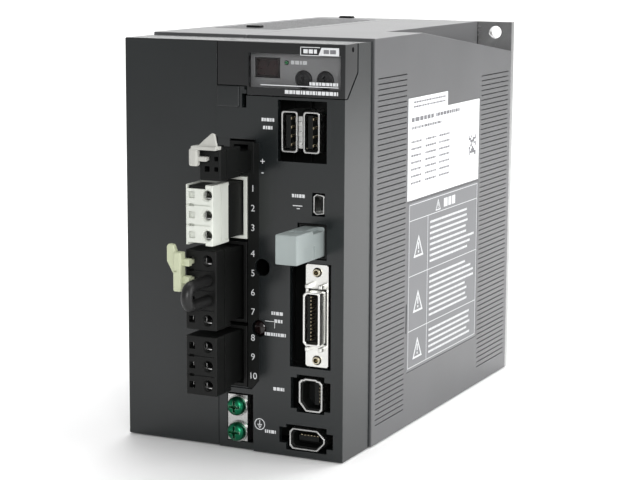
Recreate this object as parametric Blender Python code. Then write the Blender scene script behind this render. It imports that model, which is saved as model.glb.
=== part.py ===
"""Servo drive: a panel-mounted motor amplifier, built as an assembly of separate pieces.

Every length below is in millimetres. x runs to the right seen from the front, y runs
backwards from the front face, and z runs up from the base. world() turns such a point
into metres in the part's own frame, whose origin is the middle of the part's footprint.
"""
import math

import bmesh
import bpy
from mathutils import Vector

MM = 0.001

# Outer sizes of the drive
CASE_WIDTH = 91.0
HEIGHT = 150.0
DEPTH = 170.0
FRONT_WIDTH = 89.4
FRONT_HEIGHT = 149.0
FRONT_DEPTH = 23.0
WALL = 2.0
GAP = 0.3
PLATE = 3.0
SEAM_X = -6.0
LEFT_PANEL_Y = 1.2

# Rear mounting plate
MOUNT_HOLE_X = 38.0
MOUNT_HOLE_INSET = 4.5
MOUNT_HOLE_RADIUS = 2.6

# Screwdriver notch in front of each mounting hole
NOTCH_X = 30.0
NOTCH_START_Y = 68.0
NOTCH_SLOPE = 0.124

# Heat sink (outer end of the fins, their root, face of the base) and its screws
HEATSINK_X = (-43.0, -8.0, -4.0)
HEATSINK_Z = (21.0, 144.0)
FIN_PITCH = 8.0
FIN_THICKNESS = 1.8
PLATE_SCREW_X = -20.0
PLATE_SCREW_Z = (30.0, 135.0)

# Labels on the right side, as (y, z) outlines
RATING_OUTLINE = [
    (55, 87.4), (129.5, 87.4), (129.5, 120.4), (94.5, 120.4), (94.5, 126), (55, 126),
]
WARNING_OUTLINE = [(56, 21.2), (129.5, 21.2), (129.5, 86.4), (56, 86.4)]

# Openings in the front cover, as spans of z or (x, z) outlines and centres
TERMINAL_Z = (23.5, 101.5)
CONTROL_Z = (101.2, 114.2)
LAMP_CENTRE = (11.0, 45.9)
LAMP_RADIUS = 2.85
SCREW_ACCESS = (12.3, 68.4)
SCALE_RECESS = [
    (24.0, 18.0), (26.4, 18.0), (26.4, 16.8), (37.4, 16.8), (37.4, 17.9), (39.8, 17.9),
    (39.8, 28.6), (37.4, 28.6), (37.4, 30.6), (26.4, 30.6), (26.4, 29.4), (24.0, 29.4),
]
ENCODER_RECESS = [
    (19.4, 4.7), (22.2, 4.7), (22.2, 2.3), (38.4, 2.3), (38.4, 4.2), (40.9, 4.2),
    (40.9, 9.8), (38.4, 9.8), (38.4, 11.8), (22.2, 11.8), (22.2, 10.5), (19.4, 10.5),
]

# Operator area at the top of the front
COVER_BOTTOM_Z = 130.2
COVER_STEP_Z = 133.4
EAR_OUTLINE = [(0, COVER_BOTTOM_Z), (1.8, COVER_BOTTOM_Z), (10.2, 138.8), (10.2, 149), (0, 149)]
PANEL_X = (5.6, 41.4)
PANEL_Z = (132.3, 145.1)
DIGIT_WINDOW = ((7.4, 17.6), (136.2, 143.4))
DIAL_CENTRES = {"tens": (26.9, 136.0), "ones": (35.3, 136.0)}
DIAL_RADIUS = 3.1
LED_CENTRE = (20.2, 141.8)

# Signal connectors
NETWORK_Z = (110.6, 125.2)
IO_X = 33.8
IO_SHELL = ((30.7, 37.3), (42.4, 61.9))
IO_SHELL_Y = (-4.2, 6.0)
IO_INSERT_Z = (36.3, 68.2)
SCALE_OUTLINE = [
    (28.2, 20.4), (30.6, 17.7), (35.9, 17.7), (36.9, 18.8),
    (36.9, 27.8), (35.0, 29.3), (29.4, 29.3), (28.2, 28.3),
]
ENCODER_OUTLINE = [
    (24.0, 4.3), (25.3, 3.0), (34.9, 3.0), (37.7, 6.4),
    (37.7, 8.6), (34.9, 10.8), (25.3, 10.8), (24.0, 9.2),
]

# Terminal rows and plugs
ROW_PITCH = 7.1
MAINS_ROW_Z = 89.5
REGEN_ROW_Z = 62.35
MOTOR_ROW_Z = 35.0
CONTROL_PITCH = 3.6
CONTROL_ROW_Z = 107.0
PLUG_FACE_Y = -20.3
MAINS_FACE_Y = -22.6
CONTROL_FACE_Y = -24.0
PLUG_LEFT_X = -7.5
PLUG_RIGHT_X = 4.8
CONTROL_LEVER_AXIS = (3.4, -25.0)
REGEN_LEVER_AXIS = (-5.1, -21.3)
REGEN_LEVER_X = (-9.9, -6.7)

# Protective earth
EARTH_X = 2.3
EARTH_SCREW_Z = (6.7, 16.3)

# Jumper wire on the regeneration plug
WIRE_RADIUS = 2.2
WIRE_LEG = 11.0
WIRE_X = 1.2

# Display cover hinge
HINGE_Y = 6.5
HINGE_Z = 147.0
PIN_RADIUS = 0.8

# Fan
FAN_X = -23.2
FAN_Y = 46.0
FAN_SIZE = 39.6
FAN_LOW_Z = 2.6
FAN_HIGH_Z = 17.6

# Upright circuit boards
BOARD = 1.6
POWER_BOARD_X = 10.2
CONTROL_BOARD_X = 38.6

CASE_HALF = CASE_WIDTH / 2
FRONT_HALF = FRONT_WIDTH / 2
REACH = -PLUG_FACE_Y + WIRE_LEG + ROW_PITCH / 2 + WIRE_RADIUS
CENTRE_Y = (DEPTH - REACH) / 2
FOOTPRINT_MIDDLE = (0.0, CENTRE_Y, 0.0)
SHELL_FRONT_Y = FRONT_DEPTH + GAP
SHELL_REAR_Y = DEPTH - PLATE - GAP

COLOURS = {
    "front_plastic": ((0.030, 0.031, 0.033), 0.32, 0.0),
    "case_plastic": ((0.150, 0.152, 0.158), 0.55, 0.0),
    "smoke_plastic": ((0.015, 0.015, 0.017), 0.12, 0.0),
    "panel_grey": ((0.090, 0.092, 0.095), 0.50, 0.0),
    "black_plastic": ((0.022, 0.023, 0.022), 0.45, 0.0),
    "plug_grey": ((0.060, 0.061, 0.060), 0.50, 0.0),
    "white_nylon": ((0.790, 0.800, 0.760), 0.50, 0.0),
    "bypass_grey": ((0.450, 0.480, 0.470), 0.50, 0.0),
    "lever_ivory": ((0.680, 0.710, 0.520), 0.45, 0.0),
    "lever_grey": ((0.600, 0.600, 0.570), 0.45, 0.0),
    "bright_steel": ((0.720, 0.720, 0.700), 0.25, 1.0),
    "plated_zinc": ((0.780, 0.780, 0.770), 0.30, 1.0),
    "aluminium": ((0.620, 0.630, 0.640), 0.40, 1.0),
    "brass": ((0.780, 0.620, 0.300), 0.30, 1.0),
    "green_screw": ((0.010, 0.120, 0.060), 0.30, 0.6),
    "lamp_red": ((0.070, 0.008, 0.008), 0.20, 0.0),
    "lamp_green": ((0.020, 0.180, 0.050), 0.20, 0.0),
    "display_red": ((0.040, 0.006, 0.006), 0.15, 0.0),
    "dial_grey": ((0.055, 0.055, 0.058), 0.40, 0.0),
    "label_white": ((0.780, 0.780, 0.780), 0.50, 0.0),
    "label_grey": ((0.220, 0.222, 0.228), 0.50, 0.0),
    "board_green": ((0.020, 0.150, 0.060), 0.45, 0.0),
    "capacitor_sleeve": ((0.030, 0.040, 0.090), 0.35, 0.0),
    "module_grey": ((0.080, 0.080, 0.085), 0.55, 0.0),
    "wire_black": ((0.020, 0.020, 0.021), 0.50, 0.0),
}


def clear_scene():
    """Empty the scene, so that only the drive is in it."""
    for item in list(bpy.data.objects):
        bpy.data.objects.remove(item, do_unlink=True)


def world(x, y, z):
    """A point in millimetres from the front face, as metres in the part's frame."""
    return Vector((x, y - CENTRE_Y, z)) * MM


def paint(name):
    """The material of one finish, made once and shared."""
    material = bpy.data.materials.get(name)
    if material is None:
        colour, roughness, metallic = COLOURS[name]
        material = bpy.data.materials.new(name)
        material.use_nodes = True
        shader = material.node_tree.nodes["Principled BSDF"]
        shader.inputs["Base Color"].default_value = (*colour, 1.0)
        shader.inputs["Roughness"].default_value = roughness
        shader.inputs["Metallic"].default_value = metallic
        material.diffuse_color = (*colour, 1.0)
    return material


class Solid:
    """Closed shapes collected in one mesh. Lengths are millimetres from the front face."""

    def __init__(self):
        self.mesh = bmesh.new()

    def prism(self, axis, outline, span):
        """An outline in the two other axes, in x, y, z order, drawn out along the axis."""
        rings = []
        for level in span:
            rings.append([self.mesh.verts.new(place(axis, point, level)) for point in outline])
        self.close(rings)
        return self

    def box(self, x, y, z):
        """A block between two values on each axis."""
        outline = [(y[0], z[0]), (y[1], z[0]), (y[1], z[1]), (y[0], z[1])]
        return self.prism("x", outline, x)

    def lathe(self, axis, centre, profile, sides):
        """A turned shape: profile holds (level along the axis, radius) from end to end."""
        rings = []
        for level, radius in profile:
            points = arc(centre, radius, 0, 360, sides)[:-1]
            rings.append([self.mesh.verts.new(place(axis, point, level)) for point in points])
        self.close(rings)
        return self

    def cylinder(self, axis, centre, radius, span, sides=24):
        """A round bar along the axis."""
        return self.lathe(axis, centre, [(span[0], radius), (span[1], radius)], sides)

    def close(self, rings):
        """Join rings of equal length into a closed skin that faces outwards."""
        faces = [self.mesh.faces.new(rings[0]), self.mesh.faces.new(rings[-1])]
        for lower, upper in zip(rings, rings[1:]):
            for i in range(len(lower)):
                j = (i + 1) % len(lower)
                faces.append(self.mesh.faces.new((lower[i], lower[j], upper[j], upper[i])))
        bmesh.ops.recalc_face_normals(self.mesh, faces=faces)


def place(axis, point, level):
    """The world point with the two given coordinates, at a level along the axis."""
    first, second = point
    if axis == "x":
        return world(level, first, second)
    if axis == "y":
        return world(first, level, second)
    return world(first, second, level)


def arc(centre, radius, start, end, steps):
    """Points along an arc, in degrees, both ends included."""
    angles = [math.radians(start + (end - start) * i / steps) for i in range(steps + 1)]
    return [(centre[0] + radius * math.cos(a), centre[1] + radius * math.sin(a)) for a in angles]


def chamfered(x, z, cut):
    """A rectangle's outline with its four corners cut off."""
    return [
        (x[0] + cut, z[0]), (x[1] - cut, z[0]), (x[1], z[0] + cut), (x[1], z[1] - cut),
        (x[1] - cut, z[1]), (x[0] + cut, z[1]), (x[0], z[1] - cut), (x[0], z[0] + cut),
    ]


def make_object(name, solid, origin):
    """An object from a solid, with its origin at a point in millimetres."""
    pivot = world(*origin)
    bmesh.ops.translate(solid.mesh, verts=solid.mesh.verts, vec=-pivot)
    mesh = bpy.data.meshes.new(name)
    solid.mesh.to_mesh(mesh)
    solid.mesh.free()
    item = bpy.data.objects.new(name, mesh)
    item.location = pivot
    bpy.context.scene.collection.objects.link(item)
    return item


def piece(name, finish, solid, origin=FOOTPRINT_MIDDLE):
    """One named piece of the drive."""
    item = make_object(name, solid, origin)
    item.data.materials.append(paint(finish))
    return item


def combine(item, solid, operation):
    """Cut a solid out of a piece, or join it on, and return the hidden tool."""
    tool = make_object(f"tool_{item.name}_{len(item.modifiers)}", solid, FOOTPRINT_MIDDLE)
    tool.hide_render = True
    tool.display_type = "WIRE"
    step = item.modifiers.new(operation.title(), "BOOLEAN")
    step.operation = operation
    step.solver = "EXACT"
    step.use_self = True
    step.object = tool
    return tool


def cut(item, solid):
    """Cut a solid out of a piece."""
    return combine(item, solid, "DIFFERENCE")


def join(item, solid):
    """Join a solid onto a piece."""
    return combine(item, solid, "UNION")


def shade_round(item, angle=40):
    """Shade a piece smooth between faces that meet at a small angle."""
    item.data.shade_smooth()
    item.data.set_sharp_from_angle(angle=math.radians(angle))


# ---------------------------------------------------------------- casing

def rear_plate():
    """Steel plate that carries everything and bolts to the cabinet wall."""
    solid = Solid().box((-CASE_HALF, CASE_HALF), (DEPTH - PLATE, DEPTH), (0, HEIGHT))
    plate = piece("rear_plate", "bright_steel", solid)
    holes = Solid()
    for side in (-1, 1):
        centre = (side * MOUNT_HOLE_X, HEIGHT / 2 + side * (HEIGHT / 2 - MOUNT_HOLE_INSET))
        holes.cylinder("y", centre, MOUNT_HOLE_RADIUS, (DEPTH - PLATE - 1, DEPTH + 1))
    for z in PLATE_SCREW_Z:
        profile = [(DEPTH - PLATE - 1, 1.8), (DEPTH - 2, 1.8), (DEPTH - 2, 3.3), (DEPTH + 1, 3.3)]
        holes.lathe("y", (PLATE_SCREW_X, z), profile, 20)
    cut(plate, holes)


def heatsink():
    """Extruded heat sink: upright fins on the left of a base, and a thick rear rib."""
    outer, root, base = HEATSINK_X
    front, rear, rib = 26.0, SHELL_REAR_Y, 8.0
    outline = [(base, rear), (base, front)]
    y = front
    while y + FIN_PITCH < rear - rib:
        back = y + FIN_THICKNESS
        outline += [(outer, y), (outer, back), (root, back), (root, y + FIN_PITCH)]
        y += FIN_PITCH
    back = y + FIN_THICKNESS
    outline += [(outer, y), (outer, back), (root, back)]
    outline += [(root, rear - rib), (outer, rear - rib), (outer, rear)]
    item = piece("heatsink", "aluminium", Solid().prism("z", outline, HEATSINK_Z))
    holes = Solid()
    for z in PLATE_SCREW_Z:
        holes.cylinder("y", (PLATE_SCREW_X, z), 1.7, (rear - rib + 1, rear + 1), 16)
    cut(item, holes)


def plate_screws():
    """Two flush screws that hold the heat sink to the rear plate."""
    for name, z in zip(("plate_screw_lower", "plate_screw_upper"), PLATE_SCREW_Z):
        neck = DEPTH - 1.7
        profile = [(SHELL_REAR_Y - 6.5, 1.4), (neck, 1.4), (neck, 2.9), (DEPTH - 0.2, 2.9)]
        item = piece(name, "bright_steel", Solid().lathe("y", (PLATE_SCREW_X, z), profile, 20))
        shade_round(item)


def notch(side, lift, x_inner):
    """The wedge in front of a mounting hole: over the top right or under the bottom left."""
    middle = HEIGHT / 2
    reach = DEPTH + 5 - NOTCH_START_Y
    outline = [
        (NOTCH_START_Y, middle - lift), (DEPTH + 5, middle - lift - NOTCH_SLOPE * reach),
        (DEPTH + 5, middle + 5), (NOTCH_START_Y, middle + 5),
    ]
    outline = [(y, middle + side * height) for y, height in outline]
    return Solid().prism("x", outline, (side * x_inner, side * (CASE_HALF + 5)))


def hollow(item, cavity, side):
    """Cut a shell's cavity, leaving the notch its own floor and wall."""
    inner = cut(item, cavity)
    cut(inner, notch(side, WALL, NOTCH_X - WALL))
    cut(item, notch(side, 0.0, NOTCH_X))


def louvres(x, y, z, pitch, height):
    """A column of level ventilation slots through a side wall."""
    slots = Solid()
    count = int((z[1] - z[0]) / pitch)
    for i in range(count):
        low = z[0] + i * pitch
        slots.box(x, y, (low, low + height))
    return slots


def left_housing():
    """Left half of the casing, with the fan's inlet below and its outlet on top."""
    shell_y = (SHELL_FRONT_Y, SHELL_REAR_Y)
    solid = Solid().box((-CASE_HALF, SEAM_X - GAP / 2), shell_y, (0, HEIGHT))
    item = piece("left_housing", "case_plastic", solid)
    inner_x = (WALL - CASE_HALF, SEAM_X + 5)
    cavity = Solid().box(inner_x, (SHELL_FRONT_Y - 5, DEPTH), (WALL, HEIGHT - WALL))
    hollow(item, cavity, -1)
    cut(item, Solid().cylinder("z", (FAN_X, FAN_Y), 17.5, (-1, WALL + 1), 32))
    outlet = Solid()
    for i in range(16):
        y = 60 + i * 6.0
        outlet.box((-40, -11), (y, y + 2.6), (HEIGHT - WALL - 1, HEIGHT + 1))
    cut(item, outlet)
    cut(item, louvres((-CASE_HALF - 1, 1 + WALL - CASE_HALF), (28, 60), (30, 135), 3.6, 1.6))


def right_housing():
    """Right half of the casing, with two columns of louvres and pockets for two labels."""
    shell_y = (SHELL_FRONT_Y, SHELL_REAR_Y)
    solid = Solid().box((SEAM_X + GAP / 2, CASE_HALF), shell_y, (0, HEIGHT))
    item = piece("right_housing", "case_plastic", solid)
    inner_x = (SEAM_X - 5, CASE_HALF - WALL)
    cavity = Solid().box(inner_x, (SHELL_FRONT_Y - 5, DEPTH), (WALL, HEIGHT - WALL))
    hollow(item, cavity, 1)
    wall = (CASE_HALF - WALL - 1, CASE_HALF + 1)
    cut(item, louvres(wall, (27, 52), (8, 138), 3.6, 1.6))
    cut(item, louvres(wall, (134, 161), (8, 132), 3.6, 1.6))
    pockets = Solid()
    for outline in (RATING_OUTLINE, WARNING_OUTLINE):
        pockets.prism("x", spread(outline, GAP), (CASE_HALF - 0.5, CASE_HALF + 1))
    cut(item, pockets)
    vents = Solid()
    for i in range(8):
        y = 60 + i * 9.0
        vents.box((8, 38), (y, y + 3.0), (-1, WALL + 1))
    cut(item, vents)


def spread(outline, margin):
    """A right-angled outline moved outwards by a margin on every side."""
    middle_y = sum(point[0] for point in outline[:2]) / 2
    middle_z = (outline[0][1] + outline[-1][1]) / 2
    moved = []
    for y, z in outline:
        shift_y = math.copysign(margin, y - middle_y)
        shift_z = math.copysign(margin, z - middle_z)
        moved.append((y + shift_y, z + shift_z))
    return moved


def labels():
    """Rating label and warning label, each flush in its pocket."""
    span = (CASE_HALF - 0.2, CASE_HALF)
    piece("rating_label", "label_white", Solid().prism("x", RATING_OUTLINE, span))
    piece("warning_label", "label_grey", Solid().prism("x", WARNING_OUTLINE, span))


# ---------------------------------------------------------------- front mouldings

def front_cover():
    """Connector side of the front: a shell with an opening for each connector."""
    left, right = SEAM_X + GAP / 2, FRONT_HALF
    solid = Solid().box((left, right), (0, FRONT_DEPTH), (0, FRONT_HEIGHT))
    item = piece("front_cover", "front_plastic", solid)
    inner_z = (WALL, FRONT_HEIGHT - WALL)
    cut(item, Solid().box((left + 1.6, right - WALL), (2.2, FRONT_DEPTH + 1), inner_z))
    join(item, Solid().box((37.5, 42.0), (5.3, 10.0), (143.2, FRONT_HEIGHT - 1)))
    join(item, Solid().box((-3.1, 0.5), (5.3, 10.0), (143.2, FRONT_HEIGHT - 1)))
    cut(item, display_pocket())
    shallow = Solid()
    strip = [(left - 1, 23), (8.2, 23), (11.2, 26.5), (11.2, 114.6), (left - 1, 114.6)]
    shallow.prism("y", strip, (-1, 0.8))
    shallow.box((left - 1, 8.9), (-1, 1.0), (-1, 22.4))
    cut(item, shallow)
    openings = Solid()
    through = (-1, 3.2)
    openings.box((left - 1, 6.4), (-1, FRONT_DEPTH - 2), TERMINAL_Z)
    openings.box((-1.0, 9.4), (-1, 3.2), (TERMINAL_Z[1] + GAP, CONTROL_Z[1]))
    panel_x = (PANEL_X[0] - GAP, PANEL_X[1] + GAP)
    openings.box(panel_x, through, (PANEL_Z[0] - GAP, PANEL_Z[1] + GAP))
    openings.box((18.6, 37.8), through, (107.2, 129.0))
    openings.box((32.2, 37.2), through, (88.5, 96.8))
    openings.box((26.5, 38.0), through, (72.9, 85.8))
    openings.box((23.6, 39.8), through, (33.3, 71.5))
    openings.prism("y", SCALE_RECESS, through)
    openings.prism("y", ENCODER_RECESS, through)
    openings.box((-2.4, 8.2), through, (2.6, 20.8))
    openings.box((4.3, 6.1), (-1, 2.6), (125.6, 130.6))
    openings.cylinder("y", LAMP_CENTRE, LAMP_RADIUS + GAP, through, 24)
    openings.cylinder("y", SCREW_ACCESS, 3.2, through, 24)
    cut(item, openings)
    for span in ((39.0, 42.6), (-3.8, -1.0)):
        cut(item, Solid().cylinder("x", (HINGE_Y, HINGE_Z), PIN_RADIUS + 0.05, span))


def display_pocket():
    """The room that the display cover and its two ears need in the front cover."""
    pocket = Solid()
    low, step = COVER_BOTTOM_Z - GAP, COVER_STEP_Z - GAP
    front = [(-5.8, step), (6.1, step), (6.1, low), (46, low), (46, 151), (-5.8, 151)]
    pocket.prism("y", front, (-1, 2.4))
    ear = [(2.3, low), (2.5, low), (11.0, 138.6), (11.0, 151), (2.3, 151)]
    pocket.prism("x", ear, (42.3, 46))
    pocket.box((-7.0, -3.4), (2.3, 11.0), (140.6, 151))
    return pocket


def display_cover():
    """Smoke cover over the operator panel; its ears hang on two pins at the top."""
    pivot = (0.0, HINGE_Y, HINGE_Z)
    plate = [
        (-5.5, COVER_STEP_Z), (6.4, COVER_STEP_Z), (6.4, COVER_BOTTOM_Z),
        (FRONT_HALF, COVER_BOTTOM_Z), (FRONT_HALF, 149), (-5.5, 149),
    ]
    item = piece("display_cover", "smoke_plastic", Solid().prism("y", plate, (0, 1.8)), pivot)
    join(item, Solid().prism("x", EAR_OUTLINE, (42.6, FRONT_HALF)))
    join(item, Solid().box((-5.5, -3.8), (0.5, 9.6), (141.6, 149)))
    holes = Solid()
    holes.cylinder("x", (HINGE_Y, HINGE_Z), PIN_RADIUS + 0.06, (42.0, FRONT_HALF + 1))
    holes.cylinder("x", (HINGE_Y, HINGE_Z), PIN_RADIUS + 0.06, (-6.5, -3.3))
    cut(item, holes)


def hinge_pins():
    """Two steel stubs that carry the display cover."""
    spans = {"hinge_pin_left": (-5.4, -1.2), "hinge_pin_right": (39.2, FRONT_HALF - 0.1)}
    for name, span in spans.items():
        solid = Solid().cylinder("x", (HINGE_Y, HINGE_Z), PIN_RADIUS, span)
        shade_round(piece(name, "bright_steel", solid))


def front_left_panel():
    """Plain left side of the front, a little behind the connector side."""
    right = SEAM_X - GAP / 2
    solid = Solid().box((-FRONT_HALF, right), (LEFT_PANEL_Y, FRONT_DEPTH), (0, FRONT_HEIGHT))
    item = piece("front_left_panel", "front_plastic", solid)
    inner_x = (WALL - FRONT_HALF, right + 1)
    inner_y = (LEFT_PANEL_Y + 2.2, FRONT_DEPTH + 1)
    cut(item, Solid().box(inner_x, inner_y, (WALL, FRONT_HEIGHT - WALL)))
    cut(item, Solid().box((-8.6, right + 1), (0, 5), TERMINAL_Z))


# ---------------------------------------------------------------- operator area

def operator_panel():
    """Grey panel behind the display cover, with holes for the display, lamp and switches."""
    item = piece("operator_panel", "panel_grey", Solid().box(PANEL_X, (3.6, 5.0), PANEL_Z))
    holes = Solid()
    x, z = DIGIT_WINDOW
    holes.box((x[0] + 0.2, x[1]), (3, 6), z)
    for centre in DIAL_CENTRES.values():
        holes.cylinder("y", centre, DIAL_RADIUS + GAP, (3, 6))
    holes.cylinder("y", LED_CENTRE, 0.9, (3, 6), 12)
    cut(item, holes)
    solid = Solid().box((x[0] + 0.5, x[1] - GAP), (3.8, 8.6), (z[0] + GAP, z[1] - GAP))
    display = piece("segment_display", "display_red", solid)
    cut(display, Solid().box((x[0] + 0.9, x[1] - 0.7), (3, 4.1), (z[0] + 0.7, z[1] - 0.7)))
    lamp = Solid().lathe("y", LED_CENTRE, [(3.3, 0.3), (3.5, 0.6), (7.0, 0.6)], 12)
    shade_round(piece("status_led", "lamp_green", lamp))
    solid = Solid().box((9.0, 21.0), (5.3, 9.5), (132.6, 136.0))
    header = piece("monitor_header", "black_plastic", solid)
    cut(header, Solid().box((9.6, 20.4), (5, 8.0), (133.2, 135.4)))


def rotary_switches():
    """Two ten-position address switches: a square body, and a slotted dial that turns."""
    for name, (x, z) in DIAL_CENTRES.items():
        body = Solid().box((x - 3.8, x + 3.8), (5.3, 10.0), (z - 3.6, z + 3.8))
        item = piece(f"rotary_switch_{name}_body", "black_plastic", body)
        cut(item, Solid().cylinder("y", (x, z), DIAL_RADIUS + GAP, (5, 7.4)))
        profile = [(3.4, DIAL_RADIUS - 0.3), (3.7, DIAL_RADIUS), (7.1, DIAL_RADIUS)]
        dial = Solid().lathe("y", (x, z), profile, 28)
        item = piece(f"rotary_dial_{name}", "dial_grey", dial, (x, 5.0, z))
        shade_round(item)
        arrow = [
            (x - 0.4, z - 1.7), (x + 0.4, z - 1.7), (x + 0.4, z + 0.6), (x + 1.0, z + 0.6),
            (x, z + 1.8), (x - 1.0, z + 0.6), (x - 0.4, z + 0.6),
        ]
        cut(item, Solid().prism("y", arrow, (3, 4.1)))


# ---------------------------------------------------------------- signal connectors

def network_sockets():
    """Two upright network sockets, side by side, each with a contact tongue."""
    z = (NETWORK_Z[0] + 0.5, NETWORK_Z[1] - 0.5)
    sockets = (("left", (20.2, 28.1), (20.7, 25.9)), ("right", (28.4, 35.2), (29.3, 34.7)))
    for name, body, mouth in sockets:
        solid = Solid().box(body, (-0.6, 14.0), NETWORK_Z)
        item = piece(f"network_socket_{name}", "bright_steel", solid)
        cut(item, Solid().box(mouth, (-1, 13.0), z))
        tongue = Solid().box((mouth[0] + 0.9, mouth[0] + 2.8), (1.0, 12.7), (z[0] + 1.0, z[1] - 1.0))
        piece(f"network_tongue_{name}", "black_plastic", tongue)


def usb_socket():
    """Mini USB socket: a thin shell round a tongue."""
    x, z = (32.6, 36.8), (88.9, 96.4)
    item = piece("usb_mini_socket", "bright_steel", Solid().box(x, (0.2, 9.0), z))
    left, right, low, high = x[0] + 0.5, x[1] - 0.5, z[0] + 0.5, z[1] - 0.5
    mouth = [
        (left, low), (right, low), (right, high), (left, high),
        (left, high - 1.1), (right - 1.1, high - 1.1), (right - 1.1, low + 1.1), (left, low + 1.1),
    ]
    cut(item, Solid().prism("y", mouth, (-1, 7.5)))


def safety_connector():
    """Safety socket, and the bypass plug that is left in it."""
    item = piece("safety_socket", "black_plastic", Solid().box((26.8, 37.7), (0.5, 14.0), (73.2, 85.5)))
    cut(item, Solid().box((27.6, 36.9), (0, 11.0), (73.8, 84.9)))
    body = Solid().prism("y", chamfered((28.0, 36.5), (74.1, 84.6), 0.5), (-20.7, 10.6))
    plug = piece("safety_bypass_plug", "bypass_grey", body)
    grips = Solid()
    for x in ((26, 28.5), (36.0, 38)):
        grips.box(x, (-12.5, -5.5), (76.0, 82.6))
    cut(plug, grips)
    cut(plug, Solid().box((30.2, 34.3), (-14.0, -4.0), (84.0, 86)))


def io_connector():
    """Main input/output connector: cast bracket, D shell, contact block and two inserts."""
    bracket = Solid().prism("y", chamfered((29.3, 38.2), (33.8, 71.0), 0.6), (1.2, 4.0))
    item = piece("io_bracket", "plated_zinc", bracket)
    holes = Solid()
    shell_x, shell_z = [(low - GAP, high + GAP) for low, high in IO_SHELL]
    holes.box(shell_x, (0, 5), shell_z)
    for z in IO_INSERT_Z:
        holes.cylinder("y", (IO_X, z), 1.75, (0, 5), 16)
    cut(item, holes)
    front, back = IO_SHELL_Y
    solid = Solid().prism("y", chamfered(*IO_SHELL, 1.0), IO_SHELL_Y)
    shell = piece("io_shell", "plated_zinc", solid)
    mouth = [(low + 0.5, high - 0.5) for low, high in IO_SHELL]
    cut(shell, Solid().prism("y", chamfered(*mouth, 0.8), (front - 1, back + 1)))
    (left, right), (low, high) = [(edge[0] + GAP, edge[1] - GAP) for edge in mouth]
    outline = [
        (right, 1.0), (right, 5.6), (left, 5.6),
        (left, -2.4), (left + 0.5, -2.4), (left + 0.5, 1.0),
    ]
    solid = Solid().prism("z", outline, (low + 0.6, high - 0.6))
    piece("io_contact_block", "black_plastic", solid)
    for name, z in zip(("io_insert_lower", "io_insert_upper"), IO_INSERT_Z):
        solid = Solid().cylinder("y", (IO_X, z), 1.45, (0.7, 6.0), 16)
        insert = piece(name, "brass", solid)
        shade_round(insert)
        cut(insert, Solid().cylinder("y", (IO_X, z), 0.9, (0, 5.0), 12))


def inset(outline, margin):
    """An outline scaled about its middle so that it shrinks by a margin."""
    xs, zs = zip(*outline)
    middle_x, middle_z = (min(xs) + max(xs)) / 2, (min(zs) + max(zs)) / 2
    scale_x = 1 - 2 * margin / (max(xs) - min(xs))
    scale_z = 1 - 2 * margin / (max(zs) - min(zs))
    shrunk = []
    for x, z in outline:
        shrunk.append((middle_x + (x - middle_x) * scale_x, middle_z + (z - middle_z) * scale_z))
    return shrunk


def keyed_sockets():
    """External scale socket and encoder socket: a keyed shell and a tongue insert each."""
    sockets = (
        ("scale", SCALE_OUTLINE, ((32.6, 34.6), (19.6, 28.0))),
        ("encoder", ENCODER_OUTLINE, ((26.4, 34.4), (5.9, 7.9))),
    )
    for name, outline, (x, z) in sockets:
        solid = Solid().prism("y", outline, (-0.4, 13.0))
        shell = piece(f"{name}_socket", "bright_steel", solid)
        cut(shell, Solid().prism("y", inset(outline, 0.5), (-1, 11.5)))
        piece(f"{name}_socket_insert", "black_plastic", Solid().box(x, (2.0, 11.2), z))


# ---------------------------------------------------------------- power connectors

def rows(middle, count, pitch):
    """Heights of evenly spaced rows round a middle height, from the top down."""
    return [middle + pitch * ((count - 1) / 2 - i) for i in range(count)]


def power_header(name, finish, x, middle, count, pitch, depth):
    """A header set in the front: a box whose mouth takes a plug's nose."""
    half = count * pitch / 2 + 0.6
    item = piece(name, finish, Solid().box(x, (0.2, depth), (middle - half, middle + half)))
    mouth = (middle - half + 1.2, middle + half - 1.2)
    cut(item, Solid().box((x[0] + 1.4, x[1] - 1.4), (-1, depth - 3), mouth))


def power_plug(name, finish, x, face, body_end, middle, count, pitch, nose):
    """A spring plug: a block in front of a narrower nose."""
    half = count * pitch / 2 + 0.1
    z = (middle - half, middle + half)
    item = piece(name, finish, Solid().box(x, (face, body_end), z), (sum(x) / 2, face, middle))
    join(item, Solid().box(nose, (body_end - 1, 9.5), (z[0] + 1.1, z[1] - 1.1)))
    return item


def wire_holes(item, x, face, heights, radius, depth=9.0):
    """Round wire holes in a plug's face."""
    holes = Solid()
    for z in heights:
        holes.cylinder("y", (x, z), radius, (face - 1, face + depth), 16)
    cut(item, holes)


def tool_holes(item, x, face, heights, side, depth=7.0):
    """Square tool holes in a plug's face."""
    holes = Solid()
    for z in heights:
        holes.box((x - side / 2, x + side / 2), (face - 1, face + depth), (z - side / 2, z + side / 2))
    cut(item, holes)


def row_grooves(item, x, face, heights, pitch):
    """Shallow grooves between the rows of a plug's face."""
    grooves = Solid()
    for upper, lower in zip(heights, heights[1:]):
        middle = (upper + lower) / 2
        grooves.box(x, (face - 1, face + 0.8), (middle - 0.3, middle + 0.3))
    cut(item, grooves)


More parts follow.
